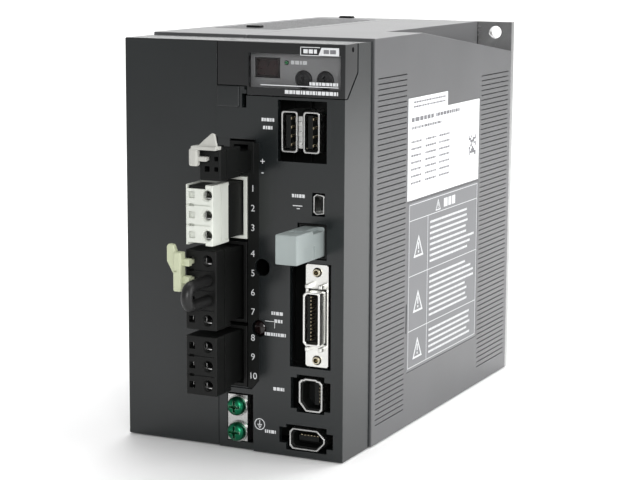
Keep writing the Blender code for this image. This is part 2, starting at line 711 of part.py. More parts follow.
def main_plugs():
    """Mains, regeneration and motor connectors, one above the other."""
    header_x = (-8.2, 6.1)
    power_header("mains_header", "white_nylon", header_x, MAINS_ROW_Z, 3, ROW_PITCH, 16.0)
    power_header("regen_header", "plug_grey", header_x, REGEN_ROW_Z, 4, ROW_PITCH, 16.0)
    power_header("motor_header", "plug_grey", header_x, MOTOR_ROW_Z, 3, ROW_PITCH, 16.0)

    heights = rows(MAINS_ROW_Z, 3, ROW_PITCH)
    plug = power_plug(
        "mains_plug", "white_nylon", (-6.0, PLUG_RIGHT_X), MAINS_FACE_Y, -12.0,
        MAINS_ROW_Z, 3, ROW_PITCH, (-5.6, 4.3),
    )
    wire_holes(plug, 2.4, MAINS_FACE_Y, heights, 1.7)
    tool_holes(plug, -3.6, MAINS_FACE_Y, heights, 2.3)
    row_grooves(plug, (-5.2, 4.2), MAINS_FACE_Y, heights, ROW_PITCH)

    black_x = (PLUG_LEFT_X, PLUG_RIGHT_X)
    for name, middle, count in (("regen_plug", REGEN_ROW_Z, 4), ("motor_plug", MOTOR_ROW_Z, 3)):
        heights = rows(middle, count, ROW_PITCH)
        plug = power_plug(
            name, "plug_grey", black_x, PLUG_FACE_Y, -9.3, middle, count, ROW_PITCH, (-6.4, 3.0),
        )
        wire_holes(plug, WIRE_X, PLUG_FACE_Y, heights, 2.45 if name == "regen_plug" else 2.0)
        tool_holes(plug, -5.1, PLUG_FACE_Y, heights, 2.3)
        row_grooves(plug, (-6.8, 3.6), PLUG_FACE_Y, heights, ROW_PITCH)


def control_plug():
    """Control power connector: a small two-way header and plug."""
    header_z = CONTROL_ROW_Z + 0.7
    power_header("control_power_header", "black_plastic", (-0.6, 9.0), header_z, 2, 5.2, 14.0)
    plug = power_plug(
        "control_power_plug", "black_plastic", (0.4, 8.6), CONTROL_FACE_Y, -0.6,
        CONTROL_ROW_Z + 0.5, 2, 5.3, (1.1, 7.3),
    )
    heights = rows(CONTROL_ROW_Z + 1.0, 2, CONTROL_PITCH)
    tool_holes(plug, 3.4, CONTROL_FACE_Y, heights, 2.0)
    tool_holes(plug, 7.0, CONTROL_FACE_Y, heights, 1.4)


def control_lever():
    """Grey lever on the control plug: its claw sits in the upper tool hole."""
    z = CONTROL_ROW_Z + CONTROL_PITCH / 2 + 1.0
    x, y = CONTROL_LEVER_AXIS
    origin = (x, y, z)
    block = Solid().box((-2.3, 1.2), (-27.2, -24.6), (z - 2.6, z + 3.6))
    item = piece("control_power_lever", "lever_grey", block, origin)
    join(item, Solid().box((1.0, 4.1), (-26.0, -24.6), (z - 0.7, z + 0.7)))
    join(item, Solid().box((2.7, 4.1), (-24.8, -19.5), (z - 0.6, z + 0.6)))
    join(item, Solid().box((1.0, 8.6), (-27.2, -23.0), (z + 3.45, z + 4.6)))
    gusset = [(1.4, z + 4.5), (8.4, z + 4.5), (7.0, z + 9.2), (6.4, z + 9.2)]
    join(item, Solid().prism("y", gusset, (-26.2, -25.0)))


def regen_lever():
    """Ivory lever on the regeneration plug: two claws in the two upper tool holes."""
    x, y = REGEN_LEVER_AXIS
    heights = rows(REGEN_ROW_Z, 4, ROW_PITCH)[:2]
    middle = sum(heights) / 2
    left, right = REGEN_LEVER_X
    body = Solid().box(REGEN_LEVER_X, (-25.4, -21.4), (middle - 7.4, middle + 6.7))
    item = piece("regen_lever", "lever_ivory", body, (x, y, middle))
    wing = [
        (left - 3.0, middle + 8.4), (left - 1.2, middle + 9.4), (left + 0.2, middle + 6.5),
        (left + 0.2, middle - 3.0), (left - 1.0, middle - 0.8), (left - 3.0, middle + 3.0),
    ]
    join(item, Solid().prism("y", wing, (-24.2, -22.4)))
    for z in heights:
        join(item, Solid().box((right - 0.2, -4.3), (-23.6, -21.4), (z - 1.0, z + 1.0)))
        join(item, Solid().box((-5.7, -4.3), (-21.6, -15.5), (z - 0.8, z + 0.8)))
    cut(item, Solid().box((left - 1, right + 1), (-27, -24.8), (middle - 0.4, middle + 0.4)))


def jumper_wire():
    """Insulated jumper looped between the second and third regeneration terminals."""
    upper, lower = rows(REGEN_ROW_Z, 4, ROW_PITCH)[1:3]
    bend = (upper - lower) / 2
    middle = (upper + lower) / 2
    start = PLUG_FACE_Y + 7.0
    turn = PLUG_FACE_Y - WIRE_LEG
    points = [(start, upper), ((start + turn) / 2, upper)]
    for i in range(11):
        angle = math.pi * i / 10
        points.append((turn - bend * math.sin(angle), middle + bend * math.cos(angle)))
    points += [((start + turn) / 2, lower), (start, lower)]
    curve = bpy.data.curves.new("jumper_wire", "CURVE")
    curve.dimensions = "3D"
    curve.bevel_depth = WIRE_RADIUS * MM
    curve.bevel_resolution = 2
    curve.use_fill_caps = True
    spline = curve.splines.new("POLY")
    spline.points.add(len(points) - 1)
    pivot = world(WIRE_X, PLUG_FACE_Y, middle)
    for point, (y, z) in zip(spline.points, points):
        point.co = (*(world(WIRE_X, y, z) - pivot), 1.0)
    item = bpy.data.objects.new("jumper_wire", curve)
    item.location = pivot
    curve.materials.append(paint("wire_black"))
    bpy.context.scene.collection.objects.link(item)


def earth_terminal():
    """Protective earth: a plated block with two green cross-head screws."""
    block = Solid().box((-2.0, 6.1), (0.6, 7.0), (3.0, 20.4))
    item = piece("earth_plate", "bright_steel", block)
    holes = Solid()
    for z in EARTH_SCREW_Z:
        holes.cylinder("y", (EARTH_X, z), 2.06, (0, 6.4), 24)
    cut(item, holes)
    for name, z in zip(("earth_screw_lower", "earth_screw_upper"), EARTH_SCREW_Z):
        profile = [
            (-3.0, 1.6), (-2.7, 2.6), (-2.0, 3.3), (-1.2, 3.6), (0.3, 3.6), (0.3, 2.0), (6.0, 2.0),
        ]
        solid = Solid().lathe("y", (EARTH_X, z), profile, 24)
        screw = piece(name, "green_screw", solid, (EARTH_X, 0.0, z))
        shade_round(screw)
        cross = Solid().box((EARTH_X - 1.9, EARTH_X + 1.9), (-4, -1.4), (z - 0.4, z + 0.4))
        cut(screw, cross)
        cut(screw, Solid().box((EARTH_X - 0.4, EARTH_X + 0.4), (-4, -1.4), (z - 1.9, z + 1.9)))


def charge_lamp():
    """Lens of the lamp that shows charge on the bulk capacitors."""
    profile = [(0.9, 1.2), (1.2, 2.3), (1.8, LAMP_RADIUS), (6.0, LAMP_RADIUS)]
    shade_round(piece("charge_lamp", "lamp_red", Solid().lathe("y", LAMP_CENTRE, profile, 24)))


# ---------------------------------------------------------------- inside

def boards():
    """Upright control board on the right, upright power board in the middle."""
    x = (CONTROL_BOARD_X, CONTROL_BOARD_X + BOARD)
    control = piece("control_board", "board_green", Solid().box(x, (10.6, 128), (4, 134)))
    cut(control, Solid().box((x[0] - 1, x[1] + 1), (10, 16), (60, 92)))
    x = (POWER_BOARD_X, POWER_BOARD_X + BOARD)
    power = piece("power_board", "board_green", Solid().box(x, (14.5, 150), (8, 140)))
    cut(power, Solid().cylinder("x", (60, 80), 2.0, (x[0] - 1, x[1] + 1), 16))


def power_module():
    """Transistor module between the heat sink's base and the power board."""
    item = piece("power_module", "module_grey", Solid().box((-3.7, 9.8), (62, 118), (40, 92)))
    cut(item, Solid().box((4, 11), (70, 110), (48, 84)))


def capacitors():
    """Bulk capacitors, standing sideways on the power board."""
    start = POWER_BOARD_X + BOARD + GAP
    for name, z in (("capacitor_lower", 62.0), ("capacitor_upper", 92.0)):
        profile = [
            (start, 11.6), (start + 1.0, 12.5), (start + 1.6, 11.9),
            (start + 2.2, 12.5), (start + 24.4, 12.5), (start + 25.2, 11.8),
        ]
        shade_round(piece(name, "capacitor_sleeve", Solid().lathe("x", (44.0, z), profile, 28)))


def transformer():
    """Power supply transformer on the power board."""
    start = POWER_BOARD_X + BOARD + GAP
    item = piece("transformer", "module_grey", Solid().box((start, start + 20), (90, 118), (98, 126)))
    grooves = Solid()
    for z in ((96, 103), (121, 128)):
        grooves.box((start + 4, start + 21), (88, 96), z)
        grooves.box((start + 4, start + 21), (112, 120), z)
    cut(item, grooves)


def fan():
    """Cooling fan under the heat sink: a square frame and a seven-bladed rotor."""
    half = FAN_SIZE / 2
    sides_x, sides_y = [(centre - half, centre + half) for centre in (FAN_X, FAN_Y)]
    frame = Solid().box(sides_x, sides_y, (FAN_LOW_Z, FAN_HIGH_Z))
    item = piece("fan_frame", "black_plastic", frame)
    centre = (FAN_X, FAN_Y)
    cut(item, Solid().cylinder("z", centre, 18.2, (FAN_LOW_Z - 1, FAN_HIGH_Z + 1), 32))
    join(item, Solid().cylinder("z", centre, 8.0, (FAN_LOW_Z, FAN_LOW_Z + 1.6), 20))
    for x, y in (((-19, 19), (-0.9, 0.9)), ((-0.9, 0.9), (-19, 19))):
        span_x = (FAN_X + x[0], FAN_X + x[1])
        span_y = (FAN_Y + y[0], FAN_Y + y[1])
        join(item, Solid().box(span_x, span_y, (FAN_LOW_Z + 0.2, FAN_LOW_Z + 1.4)))
    rotor = Solid().lathe("z", centre, [(5.0, 7.6), (15.6, 7.6), (16.4, 6.8)], 28)
    item = piece("fan_rotor", "black_plastic", rotor, (FAN_X, FAN_Y, 10.0))
    blades = Solid()
    for i in range(7):
        blade(blades, 2 * math.pi * i / 7)
    join(item, blades)
    shade_round(item, 30)


def blade(solid, angle):
    """One pitched fan blade, from just inside the hub to just short of the frame."""
    rings = []
    for radius, pitch, chord in ((6.8, 42, 5.4), (12.0, 34, 8.0), (17.2, 26, 10.4)):
        along = math.radians(pitch)
        ring = []
        for side, thick in ((-1, -1), (1, -1), (1, 1), (-1, 1)):
            turn = angle + side * chord / 2 * math.cos(along) / radius
            height = 10.0 + side * chord / 2 * math.sin(along) + thick * 0.5
            point = (FAN_X + radius * math.cos(turn), FAN_Y + radius * math.sin(turn))
            ring.append(solid.mesh.verts.new(place("z", point, height)))
        rings.append(ring)
    solid.close(rings)


def build():
    """Make every piece of the drive."""
    clear_scene()
    rear_plate()
    heatsink()
    plate_screws()
    left_housing()
    right_housing()
    labels()
    front_cover()
    front_left_panel()
    display_cover()
    hinge_pins()
    operator_panel()
    rotary_switches()
    network_sockets()
    usb_socket()
    safety_connector()
    io_connector()
    keyed_sockets()
    main_plugs()
    control_plug()
    control_lever()
    regen_lever()
    jumper_wire()
    earth_terminal()
    charge_lamp()
    boards()
    power_module()
    capacitors()
    transformer()
    fan()


build()
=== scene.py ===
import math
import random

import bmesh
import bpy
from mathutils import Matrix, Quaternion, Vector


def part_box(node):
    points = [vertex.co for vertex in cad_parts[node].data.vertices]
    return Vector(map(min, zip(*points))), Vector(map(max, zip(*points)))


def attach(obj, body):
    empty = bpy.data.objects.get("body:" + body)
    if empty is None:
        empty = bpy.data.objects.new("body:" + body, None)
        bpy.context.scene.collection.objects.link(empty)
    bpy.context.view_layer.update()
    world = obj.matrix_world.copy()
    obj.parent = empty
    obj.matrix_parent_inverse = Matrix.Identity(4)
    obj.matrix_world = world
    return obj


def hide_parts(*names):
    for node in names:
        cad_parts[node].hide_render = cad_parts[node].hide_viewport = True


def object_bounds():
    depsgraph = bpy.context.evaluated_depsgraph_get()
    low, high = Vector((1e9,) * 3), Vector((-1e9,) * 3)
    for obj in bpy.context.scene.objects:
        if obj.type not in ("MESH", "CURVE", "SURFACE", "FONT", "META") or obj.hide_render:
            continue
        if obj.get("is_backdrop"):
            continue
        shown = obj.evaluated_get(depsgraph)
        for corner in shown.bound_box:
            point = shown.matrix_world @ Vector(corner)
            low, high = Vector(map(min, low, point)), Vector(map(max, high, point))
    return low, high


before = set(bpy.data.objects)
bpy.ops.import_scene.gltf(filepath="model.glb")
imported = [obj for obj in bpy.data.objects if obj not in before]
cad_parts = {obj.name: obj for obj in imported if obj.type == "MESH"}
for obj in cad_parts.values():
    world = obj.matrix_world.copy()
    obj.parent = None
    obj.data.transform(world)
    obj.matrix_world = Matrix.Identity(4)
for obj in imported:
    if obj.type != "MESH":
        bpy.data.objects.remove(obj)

# %% [markdown]
# # Servo drive
# The drive is a narrow box for a control cabinet: moulded front, louvred casing, power plugs
# on the left of its connector side and signal sockets on the right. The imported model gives
# every position. This script puts the detailed pieces round it and paints all of them.
#
# Every length is typed in millimetres, measured from the front face: x to the right, y back
# and z up. One function turns such a point into the model's own metres.

MM = 0.001
DEPTH = 170.0
CAD_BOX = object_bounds()
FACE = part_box("rear_plate")[1].y - DEPTH * MM


def at(x, y, z):
    """A point in millimetres from the front face, as a point of the model in metres."""
    return Vector((x * MM, y * MM + FACE, z * MM))


def span_of(node):
    """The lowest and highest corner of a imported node, in millimetres from the front face."""
    low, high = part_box(node)
    shift = Vector((0, FACE, 0))
    return (low - shift) / MM, (high - shift) / MM


def seen_centre(low, high):
    """The middle of a box as one sees it from the front: its x and z."""
    return (low.x + high.x) / 2, (low.z + high.z) / 2


print("model box", [round(v, 4) for v in (*CAD_BOX[0], *CAD_BOX[1])])

# %% [markdown]
# ## Modelling by hand, in code
# These few helpers are the steps of modelling by hand: add a primitive at its size and
# place, extrude an outline, spin a profile, cut one piece with another, round the edges.
# Everything is deselected before each step, since an operator acts on all that is selected.

# %% Primitives at their size and place
TURN = {"x": (0, math.radians(90), 0), "y": (math.radians(-90), 0, 0), "z": (0, 0, 0)}
AXIS = {"x": Vector((1, 0, 0)), "y": Vector((0, 1, 0)), "z": Vector((0, 0, 1))}


def pick(piece):
    """Make one piece the only selected one."""
    bpy.ops.object.select_all(action="DESELECT")
    piece.select_set(True)
    bpy.context.view_layer.objects.active = piece


def settle():
    """Move the active piece's place, turn and size into its mesh."""
    bpy.ops.object.transform_apply(location=True, rotation=True, scale=True)
    return bpy.context.object


def block(x, y, z):
    """A block between two values on each axis."""
    bpy.ops.object.select_all(action="DESELECT")
    bpy.ops.mesh.primitive_cube_add(size=MM, location=at(sum(x) / 2, sum(y) / 2, sum(z) / 2))
    bpy.context.object.scale = (x[1] - x[0], y[1] - y[0], z[1] - z[0])
    return settle()


def on_axis(axis, centre, level):
    """The point at a level along an axis, with the two other coordinates given."""
    first, second = centre
    place = {"x": (level, first, second), "y": (first, level, second), "z": (first, second, level)}[axis]
    return at(*place)


def rod(axis, centre, radius, span, sides=32, end_radius=None):
    """A round bar, or a cone where the end has its own radius."""
    bpy.ops.object.select_all(action="DESELECT")
    end = radius if end_radius is None else end_radius
    bpy.ops.mesh.primitive_cone_add(
        vertices=sides, radius1=radius * MM, radius2=end * MM, depth=(span[1] - span[0]) * MM,
        location=on_axis(axis, centre, sum(span) / 2), rotation=TURN[axis],
    )
    return settle()


def drawn(points, edges, faces):
    """A new mesh object from a drawn line or face."""
    mesh = bpy.data.meshes.new("drawn")
    mesh.from_pydata(points, edges, faces)
    piece = bpy.data.objects.new("drawn", mesh)
    bpy.context.scene.collection.objects.link(piece)
    pick(piece)
    return piece


def plate(axis, outline, span):
    """A flat outline in the two other axes, extruded along the axis."""
    piece = drawn([on_axis(axis, point, span[0]) for point in outline], [], [list(range(len(outline)))])
    bpy.ops.object.mode_set(mode="EDIT")
    bpy.ops.mesh.select_all(action="SELECT")
    travel = AXIS[axis] * (span[1] - span[0]) * MM
    bpy.ops.mesh.extrude_region_move(TRANSFORM_OT_translate={"value": travel})
    bpy.ops.mesh.select_all(action="SELECT")
    bpy.ops.mesh.normals_make_consistent(inside=False)
    bpy.ops.object.mode_set(mode="OBJECT")
    return piece


def turned(axis, centre, profile, sides=32):
    """A turned piece: the profile holds (level along the axis, radius) from end to end."""
    points = [(0, 0, profile[0][0] * MM)]
    points += [(radius * MM, 0, level * MM) for level, radius in profile]
    points += [(0, 0, profile[-1][0] * MM)]
    piece = drawn(points, [(i, i + 1) for i in range(len(points) - 1)], [])
    bpy.ops.object.mode_set(mode="EDIT")
    bpy.ops.mesh.select_all(action="SELECT")
    bpy.ops.mesh.spin(steps=sides, angle=2 * math.pi, center=(0, 0, 0), axis=(0, 0, 1))
    bpy.ops.mesh.select_all(action="SELECT")
    bpy.ops.mesh.remove_doubles(threshold=1e-6)
    bpy.ops.mesh.normals_make_consistent(inside=False)
    bpy.ops.object.mode_set(mode="OBJECT")
    piece.rotation_euler = TURN[axis]
    piece.location = on_axis(axis, centre, 0)
    return settle()


# %% Cutting, joining, rounding and copying
def apply_modifier(piece, kind, **settings):
    """Add a modifier with its settings and apply it."""
    modifier = piece.modifiers.new(kind.title(), kind)
    for key, value in settings.items():
        setattr(modifier, key, value)
    pick(piece)
    bpy.ops.object.modifier_apply(modifier=modifier.name)
    return piece


def combine(piece, tool, operation):
    """Cut a tool out of a piece, or weld it on, and remove the tool."""
    apply_modifier(piece, "BOOLEAN", operation=operation, solver="EXACT", object=tool, use_self=True)
    bpy.data.objects.remove(tool)
    return piece


def cut(piece, *tools):
    """Cut tools out of a piece."""
    for tool in tools:
        combine(piece, tool, "DIFFERENCE")
    return piece


def weld(piece, *tools):
    """Weld tools onto a piece."""
    for tool in tools:
        combine(piece, tool, "UNION")
    return piece


def soften(piece, width, segments=2, angle=30):
    """Round every edge sharper than the angle, as a mould or a deburring wheel leaves it."""
    return apply_modifier(
        piece, "BEVEL", width=width * MM, segments=segments, limit_method="ANGLE",
        angle_limit=math.radians(angle), use_clamp_overlap=True, harden_normals=False,
    )


def soft_block(x, y, z, width, segments=2):
    """A block between two values on each axis, with its edges rounded."""
    return soften(block(x, y, z), width, segments)


def copied(node):
    """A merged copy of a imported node's mesh, free to be reworked."""
    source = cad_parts[node]
    piece = bpy.data.objects.new("copy_" + node, source.data.copy())
    bpy.context.scene.collection.objects.link(piece)
    pick(piece)
    bpy.ops.object.mode_set(mode="EDIT")
    bpy.ops.mesh.select_all(action="SELECT")
    bpy.ops.mesh.remove_doubles(threshold=2e-6)
    bpy.ops.mesh.dissolve_limited(angle_limit=math.radians(0.5))
    bpy.ops.object.mode_set(mode="OBJECT")
    return piece


def stamped(pattern, moves):
    """One mesh with a copy of the pattern at each move, a matrix or a shift in millimetres."""
    mesh = bmesh.new()
    for move in moves:
        start = len(mesh.verts)
        mesh.from_mesh(pattern.data)
        mesh.verts.ensure_lookup_table()
        matrix = move if isinstance(move, Matrix) else Matrix.Translation(Vector(move) * MM)
        bmesh.ops.transform(mesh, matrix=matrix, verts=mesh.verts[start:])
    mesh.to_mesh(pattern.data)
    mesh.free()
    return pattern


def joined(first, *others):
    """Several pieces of one finish as one object."""
    pick(first)
    for other in others:
        other.select_set(True)
    bpy.ops.object.join()
    return first


def fit(piece, name, finish, body="drive", replaces=(), angle=35):
    """Name a finished piece, paint it, and hang it on the body that it moves with."""
    piece.name = name
    piece.data.name = name
    piece.data.materials.clear()
    piece.data.materials.append(finish)
    for face in piece.data.polygons:
        face.material_index = 0
    pick(piece)
    bpy.ops.object.shade_smooth_by_angle(angle=math.radians(angle))
    apply_modifier(piece, "WEIGHTED_NORMAL", keep_sharp=True)
    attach(piece, body)
    if replaces:
        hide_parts(*replaces)
    print(f"{name}: {len(piece.data.polygons)} faces on {body}")
    return piece


# %% [markdown]
# ## Finishes
# A finish is a small graph of shader nodes. Writing its maths as Python expressions keeps it
# readable: the class below wraps one output socket, and adding or multiplying two of them
# adds the Math node. Every pattern reads the object's own coordinates, so it keeps its scale.


class Wire:
    """One output socket of a material's nodes."""

    def __init__(self, tree, socket):
        self.tree = tree
        self.socket = socket

    def node(self, kind, settings=None, inputs=None, output=0):
        """Add a node of a type, with its settings first and then its sockets."""
        made = self.tree.nodes.new(kind)
        for key, value in (settings or {}).items():
            setattr(made, key, value)
        for key, value in (inputs or {}).items():
            if isinstance(value, Wire):
                self.tree.links.new(value.socket, made.inputs[key])
            else:
                made.inputs[key].default_value = value
        return Wire(self.tree, made.outputs[output])

    def maths(self, operation, first, second):
        return self.node("ShaderNodeMath", {"operation": operation}, {0: first, 1: second})

    def __add__(self, other):
        return self.maths("ADD", self, other)

    def __radd__(self, other):
        return self.maths("ADD", other, self)

    def __sub__(self, other):
        return self.maths("SUBTRACT", self, other)

    def __rsub__(self, other):
        return self.maths("SUBTRACT", other, self)

    def __mul__(self, other):
        return self.maths("MULTIPLY", self, other)

    def __rmul__(self, other):
        return self.maths("MULTIPLY", other, self)


def ramp(value, low, high):
    """0 below the low value, 1 above the high one, and straight between them."""
    return value.node("ShaderNodeMapRange", {"clamp": True}, {0: value, 1: low, 2: high, 3: 0.0, 4: 1.0})


def mix(factor, first, second):
    """A colour between two colours."""
    first = first if isinstance(first, Wire) else (*first, 1.0)
    second = second if isinstance(second, Wire) else (*second, 1.0)
    return factor.node("ShaderNodeMix", {"data_type": "RGBA"}, {0: factor, 6: first, 7: second}, output=2)


def noise(place, size, detail=2.0, stretch=(1, 1, 1)):
    """Soft noise whose blobs are about that size in millimetres, stretched along the axes."""
    squeeze = tuple(1 / s for s in stretch)
    scaled = place.node("ShaderNodeMapping", {}, {"Vector": place, "Scale": squeeze})
    return place.node("ShaderNodeTexNoise", {}, {
        "Vector": scaled, "Scale": 1 / (size * MM), "Detail": detail})


def shade(colour, factor):
    """A colour made lighter or darker."""
    return tuple(min(1.0, c * factor) for c in colour)


class Finish:
    """A material with its shader, and the place on the object that its patterns read."""

    def __init__(self, name, slot):
        self.material = bpy.data.materials.new(name)
        self.material.use_nodes = True
        self.tree = self.material.node_tree
        self.shader = self.tree.nodes["Principled BSDF"]
        coordinates = self.tree.nodes.new("ShaderNodeTexCoord")
        self.place = Wire(self.tree, coordinates.outputs["Object"])

    def set(self, **sockets):
        """Set shader sockets to numbers, colours or wires."""
        for key, value in sockets.items():
            socket = self.shader.inputs[key.replace("_", " ")]
            if isinstance(value, Wire):
                self.tree.links.new(value.socket, socket)
            elif isinstance(value, tuple):
                socket.default_value = (*value, 1.0)
            else:
                socket.default_value = value

    def bump(self, height, distance, strength=1.0):
        """Raise the surface by a height pattern, with the distance in millimetres."""
        self.set(Normal=self.place.node("ShaderNodeBump", {}, {
            "Strength": strength, "Distance": distance * MM, "Height": height}))

    def edges(self, radius=0.35, patch=1.2):
        """A patchy mask where a sharp edge is near, for rubbed corners."""
        rounded = self.place.node("ShaderNodeBevel", {"samples": 4}, {"Radius": radius * MM})
        true = self.place.node("ShaderNodeNewGeometry", output="Normal")
        product = {"operation": "DOT_PRODUCT"}
        dot = self.place.node("ShaderNodeVectorMath", product, {0: rounded, 1: true}, "Value")
        return ramp(1.0 - dot, 0.02, 0.16) * ramp(noise(self.place, patch), 0.42, 0.60)


# %% [markdown]
# Most of the drive is injection-moulded plastic. The mould's spark-eroded skin leaves a fine
# grain, the melt leaves faint clouds, and handling rubs the corners and leaves a haze. One
# function makes all of these plastics, and each colour only changes its numbers.

# %% Plastics
def moulded(name, slot, colour, roughness, grain=0.35, depth=0.012, wear=0.35, haze=0.10, shine=0.5):
    """A moulded plastic; the grain's size and depth are in millimetres."""
    finish = Finish(name, slot)
    clouds = noise(finish.place, 28.0, 4.0)
    fine = noise(finish.place, grain, 1.0)
    worn = finish.edges() * wear
    toned = mix(ramp(clouds, 0.3, 0.7), shade(colour, 0.88), shade(colour, 1.10))
    finish.set(
        Base_Color=mix(worn, toned, tuple(0.5 * c + 0.10 for c in colour)),
        Roughness=roughness + (clouds - 0.5) * haze + (fine - 0.5) * 0.08 + worn * 0.15,
        Specular_IOR_Level=shine,
    )
    finish.bump(fine, depth)
    return finish.material


FRONT = moulded("front_satin_black", "front_plastic", (0.0075, 0.0095, 0.0100), 0.20, wear=0.15, haze=0.06)
CASING = moulded("casing_matt_grey", "case_plastic", (0.075, 0.076, 0.079), 0.32, 0.45, wear=0.30, haze=0.08)
COVER = moulded("cover_gloss_black", "smoke_plastic", (0.007, 0.0075, 0.008), 0.12, 0.8, 0.004, 0.1, 0.05)
PANEL = moulded("panel_grey_plastic", "panel_grey", (0.21, 0.212, 0.215), 0.50, 0.4, wear=0.1)
CONNECTOR_BLACK = moulded(
    "connector_black_nylon", "black_plastic", (0.0050, 0.0055, 0.0052), 0.45, 0.3, wear=0.1, shine=0.18)
# Plug black is the black plugs' own nylon. On the white mains plug it is also painted shade: its black nose
# and the black block in its top recess.
PLUG_BLACK_AND_SHADE = moulded(
    "plug_black_nylon_and_painted_shade", "plug_grey", (0.0055, 0.0058, 0.0055), 0.42, depth=0.015, wear=0.15, shine=0.18)
NYLON = moulded("plug_white_nylon", "white_nylon", (0.58, 0.60, 0.55), 0.42, 0.4, wear=0.0)
BYPASS = moulded("bypass_grey_nylon", "bypass_grey", (0.27, 0.305, 0.30), 0.45, 0.4, 0.015, wear=0.0)
IVORY = moulded("lever_ivory_nylon", "lever_ivory", (0.46, 0.49, 0.34), 0.38, 0.5, 0.010, wear=0.0)
PALE = moulded("lever_pale_nylon", "lever_grey", (0.42, 0.42, 0.39), 0.38, 0.5, 0.010, wear=0.0)
DIAL = moulded("dial_dark_plastic", "dial_grey", (0.020, 0.020, 0.021), 0.45, 0.3, 0.008, 0.1, shine=0.25)
MODULE = moulded("module_epoxy", "module_grey", (0.060, 0.058, 0.056), 0.60, 0.25, 0.02, 0.2)
WIRE = moulded("wire_insulation", "wire_black", (0.008, 0.008, 0.008), 0.36, 0.6, 0.010, 0.05, shine=0.35)
FAN = moulded("fan_black_plastic", "black_plastic", (0.020, 0.020, 0.021), 0.40, 0.5, 0.010, 0.2)

# %% [markdown]
# The shells, screws and plates are plated metal. Plating follows the rolled or cast surface
# under it, so there are long faint brush lines, small scratches and a slight tarnish.

# %% Metals
def metal(name, slot, colour, roughness, stretch=(1, 1, 14), brushed=0.10, tarnish=0.12, wear=0.3, bare=None):
    """A plated or bare metal, brushed along its stretch; bare is the colour of its worn edges."""
    finish = Finish(name, slot)
    lines = noise(finish.place, 0.12, 2.0, stretch)
    clouds = noise(finish.place, 9.0, 4.0)
    worn = finish.edges() * wear
    stain = ramp(clouds, 0.45, 0.75) * tarnish
    toned = mix(stain, colour, shade(colour, 0.55))
    finish.set(
        Metallic=1.0,
        Base_Color=mix(worn, toned, bare or shade(colour, 1.15)),
        Roughness=roughness + (lines - 0.5) * brushed + stain * 0.4,
    )
    finish.bump(lines, 0.004)
    return finish.material


STEEL = metal("bright_plated_steel", "bright_steel", (0.54, 0.54, 0.53), 0.27)
PLATE_STEEL = metal("mounting_plate_steel", "bright_steel", (0.42, 0.42, 0.42), 0.20, (14, 1, 1), 0.12, 0.25)
ZINC = metal("bright_plated_zinc", "plated_zinc", (0.80, 0.80, 0.77), 0.28, (1, 1, 1), 0.14, 0.15)
ALUMINIUM = metal("extruded_aluminium", "aluminium", (0.58, 0.59, 0.60), 0.38, (1, 1, 30), 0.20, 0.10)
BRASS = metal("turned_brass", "brass", (0.58, 0.53, 0.40), 0.28, (1, 8, 1), 0.12, 0.25)
GOLD = metal("contact_gold", "brass", (0.74, 0.62, 0.42), 0.22, (1, 6, 1), 0.08, 0.1)
GREEN_SCREW = metal(
    "green_passivated_screw", "green_screw", (0.012, 0.150, 0.072), 0.30, (1, 1, 1), 0.16, 0.5,
    wear=0.9, bare=(0.42, 0.58, 0.46),
)

# %% [markdown]
# A few finishes need a recipe of their own: the smoked window is mostly see-through, lamp
# lenses are deep and clear, labels are coated paper, and a circuit board has copper under
# its green lacquer.

# %% Window, lenses, print, labels and boards
def clear_plastic(name, slot, colour, alpha, roughness=0.06):
    """A see-through pane with faint smears."""
    finish = Finish(name, slot)
    smear = noise(finish.place, 6.0, 3.0)
    finish.set(Base_Color=colour, Roughness=roughness + ramp(smear, 0.5, 0.8) * 0.08, Alpha=alpha)
    finish.bump(noise(finish.place, 4.0), 0.01)
    return finish.material


def lens(name, slot, colour):
    """A deep, glossy lamp lens."""
    finish = Finish(name, slot)
    depth = noise(finish.place, 1.5, 2.0)
    finish.set(Base_Color=mix(depth, shade(colour, 0.7), shade(colour, 1.3)), Roughness=0.08 + depth * 0.06)
    finish.set(Coat_Weight=0.3, Coat_Roughness=0.04, Specular_IOR_Level=0.3)
    return finish.material


def paper(name, slot, colour, roughness=0.45):
    """Coated label paper with a faint fibre."""
    finish = Finish(name, slot)
    fibre = noise(finish.place, 0.5, 3.0)
    tone = noise(finish.place, 35.0, 2.0)
    finish.set(
        Base_Color=mix(ramp(tone, 0.3, 0.7), shade(colour, 0.95), shade(colour, 1.04)),
        Roughness=roughness + (fibre - 0.5) * 0.12,
    )
    finish.bump(fibre, 0.006)
    return finish.material


def ink(name, slot, colour):
    """Screen-printed ink, slightly speckled."""
    finish = Finish(name, slot)
    speckle = noise(finish.place, 0.18, 2.0)
    toned = mix(ramp(speckle, 0.35, 0.6), shade(colour, 0.8), colour)
    finish.set(Base_Color=toned, Roughness=0.5 + speckle * 0.1)
    return finish.material


def circuit_board(name, slot):
    """Green lacquer over copper tracks, with tinned pads."""
    finish = Finish(name, slot)
    flat = finish.place.node("ShaderNodeMapping", {}, {
        "Vector": finish.place, "Rotation": (0, math.radians(90), math.radians(90))})
    tracks = finish.place.node("ShaderNodeTexBrick", {"offset": 0.37, "squash": 0.7}, {
        "Vector": flat, "Scale": 220.0, "Mortar Size": 0.10, "Brick Width": 0.9, "Row Height": 0.34,
    }, output="Fac")
    pads = ramp(finish.place.node("ShaderNodeTexVoronoi", {}, {
        "Vector": finish.place, "Scale": 260.0}), 0.22, 0.16)
    lacquer = mix(tracks, (0.012, 0.110, 0.045), (0.020, 0.190, 0.080))
    finish.set(
        Base_Color=mix(pads, lacquer, (0.62, 0.60, 0.52)), Metallic=pads * 0.8, Roughness=0.30 + tracks * 0.1,
    )
    finish.bump(tracks + pads, 0.03)
    return finish.material


